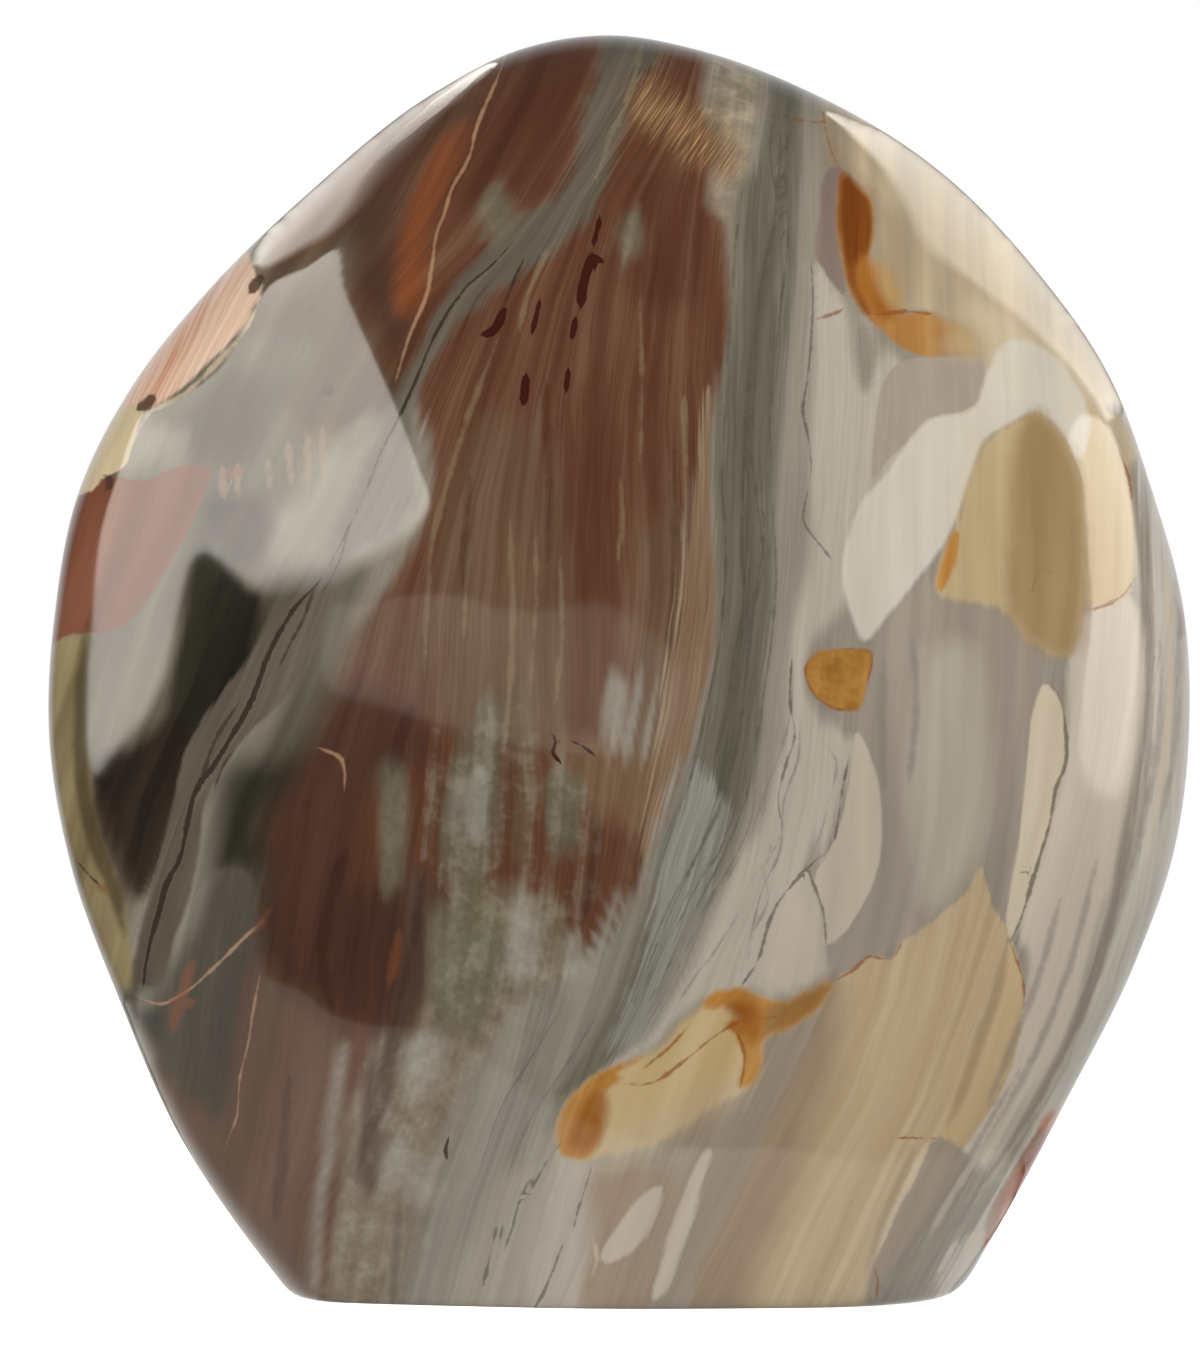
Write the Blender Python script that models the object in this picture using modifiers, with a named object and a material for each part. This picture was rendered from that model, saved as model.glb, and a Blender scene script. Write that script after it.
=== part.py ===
"""A polished free-standing piece of polychrome jasper: one solid with a flat sawn foot.

The face looks along -Y, the foot lies on z = 0 and the stone's box is centred on the Z axis.
"""
import math

import bmesh
import bpy
import numpy as np

MM = 0.001

# Driving dimensions
STONE_HEIGHT = 149.8 * MM
STONE_WIDTH = 135.5 * MM
FACE_DEPTH = 32.0 * MM
BACK_DEPTH = 28.9 * MM
FOOT_ROUNDING = 1.4 * MM

# Side seen by someone facing the stone: (right of the middle, height over the foot) in millimetres.
# The last six points lie under the foot, on the part of the pebble that the saw took off.
OUTLINE_MM = (
    (-52.6, 19.5), (-58.9, 33.8), (-65.0, 50.5), (-67.7, 66.0), (-67.0, 81.5), (-64.1, 95.8),
    (-58.1, 107.7), (-48.7, 119.6), (-36.5, 131.4), (-21.4, 143.3), (-11.8, 148.1), (-1.1, 149.8),
    (9.6, 148.0), (22.2, 143.3), (37.9, 133.8), (49.5, 121.9), (57.8, 110.1), (63.3, 95.8),
    (67.1, 81.5), (67.8, 68.4), (66.0, 52.9), (61.0, 38.6), (52.6, 21.9), (44.2, 6.4),
    (36.0, -6.0), (22.0, -15.0), (2.0, -19.0), (-18.0, -16.5), (-31.0, -8.5), (-42.2, 4.0),
)
OUTLINE_CENTRE_MM = (0.0, 72.0)

# How full each side is between its middle and its rim: 2 is an ellipse, more is a flatter side
FACE_FULLNESS = 3.5
BACK_FULLNESS = 2.7

# Flats left by the grinding wheel: a point on the flat (right, height), its depth there, how much
# deeper it gets for each millimetre to the right and up, and the radius that it bulges by, in
# millimetres.
FACE_FLATS = {
    "left cheek": ((-43.5, 101.5), 18.9, 0.47, -0.09, 260.0),
    "left jaw": ((-42.0, 77.5), 22.6, 0.27, 0.11, 800.0),
    "left shoulder": ((-32.5, 125.5), 17.5, 0.75, -0.95, 400.0),
    "right shoulder": ((45.0, 118.0), 17.0, -0.85, -0.72, 400.0),
    "right jaw": ((17.0, 14.0), 21.5, -0.06, 0.16, 900.0),
}
FACE_MIDDLE = ((9.5, 78.0), 29.5, -0.02, -0.01, 2000.0)
BACK_FLATS = {
    "back crown": ((8.0, 128.0), 16.5, -0.10, -0.62, 400.0),
    "back right": ((47.0, 66.0), 18.5, -0.60, 0.04, 400.0),
    "back left": ((-44.0, 50.0), 19.0, 0.52, 0.14, 400.0),
}
FLAT_BLEND = 0.9 * MM
MIDDLE_BLEND = 2.5 * MM

# Mesh
CELLS_A_SIDE = 26
FACE_SHARE = 0.56
RIM_START = 0.75

STONE_COLOUR = (0.24, 0.17, 0.12, 1.0)
STONE_ROUGHNESS = 0.08


def clear_scene():
    for item in list(bpy.data.objects):
        bpy.data.objects.remove(item, do_unlink=True)


def outline_points():
    """The outline in metres, stretched to the stone's driving width and height."""
    points = np.array(OUTLINE_MM)
    width = points[:, 0].max() - points[:, 0].min()
    height = points[:, 1].max()
    return points * (STONE_WIDTH / width, STONE_HEIGHT / height)


def outline_radius(angle):
    """Distance from the outline's centre to the outline at each angle, on a smooth closed curve."""
    points = outline_points() - np.array(OUTLINE_CENTRE_MM) * MM
    angles = np.arctan2(points[:, 1], points[:, 0])
    order = np.argsort(angles)
    angles = angles[order]
    radii = np.hypot(points[:, 0], points[:, 1])[order]
    turn = 2 * math.pi
    angles = np.concatenate([angles[-3:] - turn, angles, angles[:3] + turn])
    radii = np.concatenate([radii[-3:], radii, radii[:3]])
    slopes = np.gradient(radii, angles)
    left = np.clip(np.searchsorted(angles, angle) - 1, 0, len(angles) - 2)
    width = angles[left + 1] - angles[left]
    t = (angle - angles[left]) / width
    rise = t * t * (3 - 2 * t)
    start_slope = t * (1 - t) ** 2 * width * slopes[left]
    end_slope = t * t * (t - 1) * width * slopes[left + 1]
    return radii[left] * (1 - rise) + radii[left + 1] * rise + start_slope + end_slope


def rim_spacing(u):
    """Share of the way from middle to rim for even steps u, with finer steps near the rim."""
    inner = 2 * u / (1 + RIM_START)
    outer = 1 - (1 - u) ** 2 / (1 - RIM_START ** 2)
    return np.where(u < RIM_START, inner, outer)


def flat_depth(flat, right, up):
    (flat_right, flat_up), depth, slope_right, slope_up, radius = flat
    right = right - flat_right * MM
    up = up - flat_up * MM
    bulge = (right ** 2 + up ** 2) / (2 * radius * MM)
    return depth * MM + slope_right * right + slope_up * up - bulge


def soft_least(blend, *depths):
    """The least of several depths, with a rounded change from one to the next."""
    least = np.minimum.reduce(depths)
    total = sum(np.exp(-(depth - least) / blend) for depth in depths)
    return least - blend * np.log(total)


def face_depth(right, up, reach):
    dome = FACE_DEPTH * np.sqrt(1 - reach ** FACE_FULLNESS)
    full = soft_least(MIDDLE_BLEND, dome, flat_depth(FACE_MIDDLE, right, up))
    flats = [flat_depth(flat, right, up) for flat in FACE_FLATS.values()]
    return soft_least(FLAT_BLEND, full, *flats)


def back_depth(right, up, reach):
    dome = BACK_DEPTH * np.sqrt(1 - reach ** BACK_FULLNESS)
    flats = [flat_depth(flat, right, up) for flat in BACK_FLATS.values()]
    return soft_least(MIDDLE_BLEND, dome, *flats)


def shape_points(ball):
    """Moves the points of a unit ball onto the stone."""
    turn = np.arccos(np.clip(-ball[:, 1], -1, 1)) / math.pi
    on_face = turn < FACE_SHARE
    u = np.where(on_face, turn / FACE_SHARE, (1 - turn) / (1 - FACE_SHARE))
    reach = np.clip(rim_spacing(u), 0, 1)
    angle = np.arctan2(ball[:, 2], ball[:, 0])
    radius = outline_radius(angle) * reach
    right = radius * np.cos(angle) + OUTLINE_CENTRE_MM[0] * MM
    up = radius * np.sin(angle) + OUTLINE_CENTRE_MM[1] * MM
    depth = np.where(on_face, -face_depth(right, up, reach), back_depth(right, up, reach))
    return np.column_stack([right, depth, up])


def pebble_mesh():
    """A finely divided cube blown up to a ball and then moved onto the pebble's shape."""
    shape = bmesh.new()
    bmesh.ops.create_cube(shape, size=2.0)
    bmesh.ops.subdivide_edges(shape, edges=shape.edges[:], cuts=CELLS_A_SIDE - 1, use_grid_fill=True)
    cube = np.array([vertex.co for vertex in shape.verts])
    even = np.tan(cube * math.pi / 4)
    ball = even / np.linalg.norm(even, axis=1, keepdims=True)
    for vertex, point in zip(shape.verts, shape_points(ball)):
        vertex.co = point
    return shape


def saw_foot(shape):
    """Cuts the pebble off flat on z = 0 and closes the cut."""
    everything = shape.verts[:] + shape.edges[:] + shape.faces[:]
    cut = bmesh.ops.bisect_plane(
        shape, geom=everything, dist=1e-6, plane_co=(0, 0, 0), plane_no=(0, 0, -1), clear_outer=True,
    )
    rim = [item for item in cut["geom_cut"] if isinstance(item, bmesh.types.BMEdge)]
    bmesh.ops.contextual_create(shape, geom=rim)
    bmesh.ops.recalc_face_normals(shape, faces=shape.faces[:])


def stone_material():
    material = bpy.data.materials.new("polished jasper")
    material.use_nodes = True
    shader = material.node_tree.nodes["Principled BSDF"]
    shader.inputs["Base Color"].default_value = STONE_COLOUR
    shader.inputs["Roughness"].default_value = STONE_ROUGHNESS
    shader.inputs["Metallic"].default_value = 0.0
    return material


def round_foot(stone):
    """Takes the sharpness off the sawn edge."""
    rounding = stone.modifiers.new("Foot edge", "BEVEL")
    rounding.width = FOOT_ROUNDING
    rounding.segments = 3
    rounding.limit_method = "WEIGHT"
    weights = stone.data.attributes.new("bevel_weight_edge", "FLOAT", "EDGE")
    corners = stone.data.vertices
    for edge in stone.data.edges:
        on_foot = all(abs(corners[index].co.z) < 1e-6 for index in edge.vertices)
        weights.data[edge.index].value = 1.0 if on_foot else 0.0


def make_stone(collection):
    shape = pebble_mesh()
    saw_foot(shape)
    mesh = bpy.data.meshes.new("jasper_freeform")
    shape.to_mesh(mesh)
    shape.free()
    stone = bpy.data.objects.new("jasper_freeform", mesh)
    collection.objects.link(stone)
    mesh.materials.append(stone_material())
    round_foot(stone)
    mesh.shade_smooth()
    return stone


def main():
    clear_scene()
    collection = bpy.data.collections.new("Polychrome jasper")
    bpy.context.scene.collection.children.link(collection)
    make_stone(collection)


main()
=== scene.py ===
import math

import bmesh
import bpy
import numpy as np
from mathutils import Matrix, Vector


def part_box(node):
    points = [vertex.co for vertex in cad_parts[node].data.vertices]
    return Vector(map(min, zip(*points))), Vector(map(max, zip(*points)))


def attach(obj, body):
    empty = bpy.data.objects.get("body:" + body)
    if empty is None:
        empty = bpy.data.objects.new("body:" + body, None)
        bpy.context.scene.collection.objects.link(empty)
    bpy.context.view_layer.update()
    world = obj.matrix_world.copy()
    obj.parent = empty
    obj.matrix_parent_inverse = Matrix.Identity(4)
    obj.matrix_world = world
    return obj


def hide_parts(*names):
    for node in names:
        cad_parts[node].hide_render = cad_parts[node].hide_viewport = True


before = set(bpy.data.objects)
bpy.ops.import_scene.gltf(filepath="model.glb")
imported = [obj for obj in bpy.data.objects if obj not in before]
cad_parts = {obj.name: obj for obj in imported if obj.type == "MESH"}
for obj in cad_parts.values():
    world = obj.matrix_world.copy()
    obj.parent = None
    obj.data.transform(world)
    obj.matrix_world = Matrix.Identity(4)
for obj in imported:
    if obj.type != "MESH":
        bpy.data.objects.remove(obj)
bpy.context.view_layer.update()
mm = 0.001

# The picture that the markings were drawn over: its frame, how far it was taken from, and from how high.
picture = {
    "width": 1200,
    "height": 1363,
    "pixel": 0.119 * mm,
    "distance": 1190 * mm,
    "elevation": math.radians(2.0),
    "aim": (-2.26 * mm, 0.0, 73.0 * mm),
}

# The stone's form in millimetres, the same as its solid: outline, depth of both sides, ground flats.
stone = {
    "outline": [
        (-52.6, 19.5), (-58.9, 33.8), (-65.0, 50.5), (-67.7, 66.0), (-67.0, 81.5), (-64.1, 95.8),
        (-58.1, 107.7), (-48.7, 119.6), (-36.5, 131.4), (-21.4, 143.3), (-11.8, 148.1), (-1.1, 149.8),
        (9.6, 148.0), (22.2, 143.3), (37.9, 133.8), (49.5, 121.9), (57.8, 110.1), (63.3, 95.8),
        (67.1, 81.5), (67.8, 68.4), (66.0, 52.9), (61.0, 38.6), (52.6, 21.9), (44.2, 6.4),
        (36.0, -6.0), (22.0, -15.0), (2.0, -19.0), (-18.0, -16.5), (-31.0, -8.5), (-42.2, 4.0),
    ],
    "middle": (0.0, 72.0),
    "faceDepth": 32.0,
    "backDepth": 28.9,
    "faceFullness": 3.5,
    "backFullness": 2.7,
    # a point on each flat (right, up), its depth there, its slope to the right and up, and its radius
    "faceFlats": {
        "left cheek": ((-43.5, 101.5), 18.9, 0.47, -0.09, 260),
        "left jaw": ((-42.0, 77.5), 22.6, 0.27, 0.11, 800),
        "left shoulder": ((-32.5, 125.5), 17.5, 0.75, -0.95, 400),
        "right shoulder": ((45.0, 118.0), 17.0, -0.85, -0.72, 400),
        "right jaw": ((17.0, 14.0), 21.5, -0.06, 0.16, 900),
    },
    "faceMiddle": ((9.5, 78.0), 29.5, -0.02, -0.01, 2000),
    "backFlats": {
        "back crown": ((8.0, 128.0), 16.5, -0.10, -0.62, 400),
        "back right": ((47.0, 66.0), 18.5, -0.60, 0.04, 400),
        "back left": ((-44.0, 50.0), 19.0, 0.52, 0.14, 400),
    },
    "flatBlend": 0.9,
    "middleBlend": 2.5,
    "cells": 128,
    "faceShare": 0.62,
    "rimStart": 0.75,
    "footRounding": (1.4, 3.5),
}


def outlineRadius(angle):
    # distance from the middle to the outline at each angle, on a smooth closed curve
    low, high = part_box("jasper_freeform")
    points = np.array(stone["outline"])
    points *= np.array([(high.x - low.x) / np.ptp(points[:, 0]), (high.z - low.z) / points[:, 1].max()])
    points -= np.array(stone["middle"]) * mm
    angles = np.arctan2(points[:, 1], points[:, 0])
    order = np.argsort(angles)
    angles = angles[order]
    radii = np.hypot(points[:, 0], points[:, 1])[order]
    turn = 2 * math.pi
    angles = np.concatenate([angles[-3:] - turn, angles, angles[:3] + turn])
    radii = np.concatenate([radii[-3:], radii, radii[:3]])
    slopes = np.gradient(radii, angles)
    left = np.clip(np.searchsorted(angles, angle) - 1, 0, len(angles) - 2)
    width = angles[left + 1] - angles[left]
    t = (angle - angles[left]) / width
    rise = t * t * (3 - 2 * t)
    startSlope = t * (1 - t) ** 2 * width * slopes[left]
    endSlope = t * t * (t - 1) * width * slopes[left + 1]
    return radii[left] * (1 - rise) + radii[left + 1] * rise + startSlope + endSlope


def rimSpacing(u):
    start = stone["rimStart"]
    return np.where(u < start, 2 * u / (1 + start), 1 - (1 - u) ** 2 / (1 - start ** 2))


def flatDepth(flat, right, up):
    (flatRight, flatUp), depth, slopeRight, slopeUp, radius = flat
    right = right - flatRight * mm
    up = up - flatUp * mm
    return depth * mm + slopeRight * right + slopeUp * up - (right ** 2 + up ** 2) / (2 * radius * mm)


def softLeast(blend, *depths):
    least = np.minimum.reduce(depths)
    total = sum(np.exp(-(depth - least) / (blend * mm)) for depth in depths)
    return least - blend * mm * np.log(total)


def sideDepths(right, up, reach):
    dome = stone["faceDepth"] * mm * np.sqrt(1 - reach ** stone["faceFullness"])
    face = softLeast(stone["middleBlend"], dome, flatDepth(stone["faceMiddle"], right, up))
    face = softLeast(stone["flatBlend"], face, *[flatDepth(f, right, up) for f in stone["faceFlats"].values()])
    dome = stone["backDepth"] * mm * np.sqrt(1 - reach ** stone["backFullness"])
    back = softLeast(stone["middleBlend"], dome, *[flatDepth(f, right, up) for f in stone["backFlats"].values()])
    return face, back


def smoothStep(value, low, high):
    t = np.clip((value - low) / (high - low), 0, 1)
    return t * t * (3 - 2 * t)


def shapeStone(ball):
    # moves the points of a unit ball onto the stone and presses its underside flat onto the floor
    turn = np.arccos(np.clip(-ball[:, 1], -1, 1)) / math.pi
    share = stone["faceShare"]
    onFace = turn < share
    reach = np.clip(rimSpacing(np.where(onFace, turn / share, (1 - turn) / (1 - share))), 0, 1)
    angle = np.arctan2(ball[:, 2], ball[:, 0])
    radius = outlineRadius(angle) * reach
    right = radius * np.cos(angle) + stone["middle"][0] * mm
    up = radius * np.sin(angle) + stone["middle"][1] * mm
    face, back = sideDepths(right, up, reach)
    deep = np.where(onFace, -face, back)
    leftRounding, rightRounding = stone["footRounding"]
    rounding = (leftRounding + (rightRounding - leftRounding) * smoothStep(right, -20 * mm, 38 * mm)) * mm
    pressed = np.where(up < rounding, (up + rounding) ** 2 / (4 * rounding), up)
    up = np.where(up < -rounding, 0.0, pressed)
    return np.column_stack([right, deep, up])


def stoneMesh():
    shape = bmesh.new()
    bmesh.ops.create_cube(shape, size=2.0)
    bmesh.ops.subdivide_edges(shape, edges=shape.edges[:], cuts=stone["cells"] - 1, use_grid_fill=True)
    mesh = bpy.data.meshes.new("jasperFreeform")
    shape.to_mesh(mesh)
    shape.free()
    cube = np.empty(len(mesh.vertices) * 3, np.float32)
    mesh.vertices.foreach_get("co", cube)
    even = np.tan(cube.reshape(-1, 3).astype(float) * math.pi / 4)
    points = shapeStone(even / np.linalg.norm(even, axis=1, keepdims=True))
    mesh.vertices.foreach_set("co", points.ravel())
    mesh.update()
    mesh.shade_smooth()
    return mesh, points


# Lines that the bands run along, from the top down, in pixels of the picture.
grainLines = {
    "outside left": [(250, 40), (90, 400), (0, 800), (-60, 1200), (-80, 1400)],
    "main vein": [(625, 40), (600, 100), (545, 200), (513, 242), (457, 300), (408, 400), (362, 500), (300, 600),
                  (252, 700), (193, 800), (163, 900), (141, 1000), (128, 1150), (120, 1400)],
    "pale streak": [(665, 40), (640, 100), (570, 200), (512, 300), (474, 400), (445, 500), (428, 600), (422, 700),
                    (412, 800), (398, 900), (388, 1000), (365, 1100), (322, 1200), (300, 1400)],
    "pit row": [(690, 40), (668, 100), (605, 200), (580, 300), (566, 400), (558, 600), (552, 800), (545, 900),
                (530, 1000), (505, 1100), (470, 1200), (415, 1400)],
    "brick edge": [(725, 40), (705, 200), (692, 400), (686, 600), (672, 700), (650, 800), (630, 900), (600, 1000),
                   (560, 1100), (525, 1200), (465, 1400)],
    "fibrous band": [(782, 40), (772, 200), (757, 400), (757, 500), (750, 600), (737, 700), (728, 800), (700, 900),
                     (655, 1000), (600, 1100), (560, 1200), (505, 1400)],
    "thin vein": [(825, 40), (812, 200), (804, 400), (797, 600), (791, 700), (780, 800), (755, 900), (715, 1000),
                  (670, 1100), (640, 1200), (580, 1400)],
    "mauve": [(880, 40), (890, 200), (905, 400), (900, 600), (885, 700), (868, 900), (850, 1000), (812, 1100),
              (755, 1200), (650, 1400)],
    "tan": [(960, 40), (985, 200), (1000, 400), (995, 600), (990, 800), (975, 900), (950, 1000), (915, 1100),
            (862, 1200), (765, 1400)],
    "cream lens": [(1030, 40), (1060, 200), (1075, 400), (1075, 600), (1055, 800), (1027, 900), (990, 1000),
                   (953, 1100), (905, 1200), (810, 1400)],
    "right stripe": [(1100, 40), (1130, 200), (1150, 400), (1155, 600), (1144, 741), (1115, 904), (1091, 986),
                     (1055, 1070), (985, 1200), (880, 1400)],
    "right rim": [(1190, 40), (1205, 400), (1205, 600), (1188, 820), (1140, 1000), (1095, 1100), (1040, 1200),
                  (930, 1400)],
    "outside right": [(1400, 40), (1420, 600), (1360, 1000), (1160, 1400)],
}

# How the markings go on round the back: they drift sideways and waver the deeper the stone is cut.
backRun = {"drift": 150, "lift": -60, "waver": 70, "waverLength": 330}


def onPicture(points):
    # where each point of the stone lies in the picture, and how far it is behind the rim
    right = points[:, 0] - picture["aim"][0]
    up = points[:, 2] - picture["aim"][2]
    sine, cosine = math.sin(picture["elevation"]), math.cos(picture["elevation"])
    away = points[:, 1] * cosine - up * sine
    high = points[:, 1] * sine + up * cosine
    scale = picture["distance"] / (picture["distance"] + away) / picture["pixel"]
    x = picture["width"] / 2 + right * scale
    y = picture["height"] / 2 - high * scale
    behind = np.clip(points[:, 1] / (stone["backDepth"] * mm), 0, 1)
    waver = backRun["waver"] * np.sin(y / backRun["waverLength"] * 2 * math.pi + 0.8)
    x = x + behind * (backRun["drift"] + waver)
    y = y + behind * (backRun["lift"] + 0.6 * backRun["waver"] * np.sin(x / backRun["waverLength"] * 5.1))
    return np.column_stack([x, y]), behind


def grainPlace(place):
    # across and along the bands, in millimetres
    pixelMm = picture["pixel"] / mm
    crossings = []
    values = []
    for line in grainLines.values():
        xs, ys = np.array(line, float).T
        crossings.append(np.interp(place[:, 1], ys, xs))
        values.append(np.interp(600, ys, xs) * pixelMm)
    crossings = np.array(crossings)
    across = np.full(len(place), values[0])
    for low, high, start, end in zip(crossings[:-1], crossings[1:], values[:-1], values[1:]):
        share = np.clip((place[:, 0] - low) / (high - low), 0, 1)
        across += share * (end - start)
    along = place[:, 1] * pixelMm
    for swing, length, shift in grainWaves:
        across = across + swing * np.sin(along / length * 2 * math.pi + across * shift)
    return across, along


def smoothCurve(points, closed):
    # a round curve through given points, about one step every nine pixels
    points = np.array(points, float)
    count = len(points)
    spans = count if closed else count - 1
    curve = []
    for i in range(spans):
        if closed:
            p0, p1, p2, p3 = (points[(i + k) % count] for k in (-1, 0, 1, 2))
        else:
            p0, p1, p2, p3 = (points[min(max(i + k, 0), count - 1)] for k in (-1, 0, 1, 2))
        steps = max(2, int(np.hypot(*(p2 - p1)[:2]) / 9))
        for t in np.arange(steps) / steps:
            even = 2 * p1 + (p2 - p0) * t
            bend = (2 * p0 - 5 * p1 + 4 * p2 - p3) * t ** 2 + (3 * p1 - p0 - 3 * p2 + p3) * t ** 3
            curve.append((even + bend) / 2)
    curve.append(points[0] if closed else points[-1])
    return np.array(curve)


fieldReach = 7.0    # millimetres from a marking's edge over which its distance is worked out
meshCell = 0.45     # a little over the spacing of the stone's points, in millimetres
lineTaper = 7.0     # how soon a line reaches its width: its ends taper over a seventh of its length


def nearCurve(place, curve):
    margin = fieldReach * mm / picture["pixel"]
    low, high = curve.min(0) - margin, curve.max(0) + margin
    return np.flatnonzero(np.all((place > low) & (place < high), axis=1))


def areaField(place, points):
    # millimetres inside the area's edge, below zero outside
    curve = smoothCurve(points, True)
    near = nearCurve(place, curve)
    x, y = place[near].T
    least = np.full(len(near), 1e9)
    inside = np.zeros(len(near), bool)
    for (x0, y0), (x1, y1) in zip(curve[:-1], curve[1:]):
        dx, dy = x1 - x0, y1 - y0
        t = np.clip(((x - x0) * dx + (y - y0) * dy) / (dx * dx + dy * dy + 1e-9), 0, 1)
        least = np.minimum(least, (x - x0 - t * dx) ** 2 + (y - y0 - t * dy) ** 2)
        if y0 != y1:
            inside ^= ((y0 > y) != (y1 > y)) & (x < x0 + (y - y0) / dy * dx)
    distance = np.sqrt(least) * picture["pixel"] / mm
    field = np.full(len(place), -fieldReach)
    field[near] = np.clip(np.where(inside, distance, -distance), -fieldReach, fieldReach)
    return field


def lineField(place, runs):
    # how far each point lies to the side of the nearest line, with its sign, and half the line's width there
    best = np.full(len(place), fieldReach)
    side = np.full(len(place), fieldReach)
    half = np.full(len(place), -fieldReach)
    for width, points in runs:
        curve = smoothCurve(points, False)
        near = nearCurve(place, curve)
        x, y = place[near].T
        steps = np.hypot(*np.diff(curve, axis=0).T)
        starts = np.concatenate([[0], np.cumsum(steps)]) / steps.sum()
        for k, ((x0, y0), (x1, y1)) in enumerate(zip(curve[:-1], curve[1:])):
            dx, dy = x1 - x0, y1 - y0
            t = np.clip(((x - x0) * dx + (y - y0) * dy) / (dx * dx + dy * dy + 1e-9), 0, 1)
            distance = np.hypot(x - x0 - t * dx, y - y0 - t * dy) * picture["pixel"] / mm
            share = starts[k] + t * (starts[k + 1] - starts[k])
            taper = np.minimum(1, np.minimum(share, 1 - share) * lineTaper)
            nearer = distance < best[near]
            at = near[nearer]
            best[at] = distance[nearer]
            side[at] = (distance * np.sign(dx * (y - y0) - dy * (x - x0)))[nearer]
            half[at] = (width / 2 * taper - 0.02 - np.maximum(0, distance - meshCell))[nearer]
    return side, half


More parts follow.
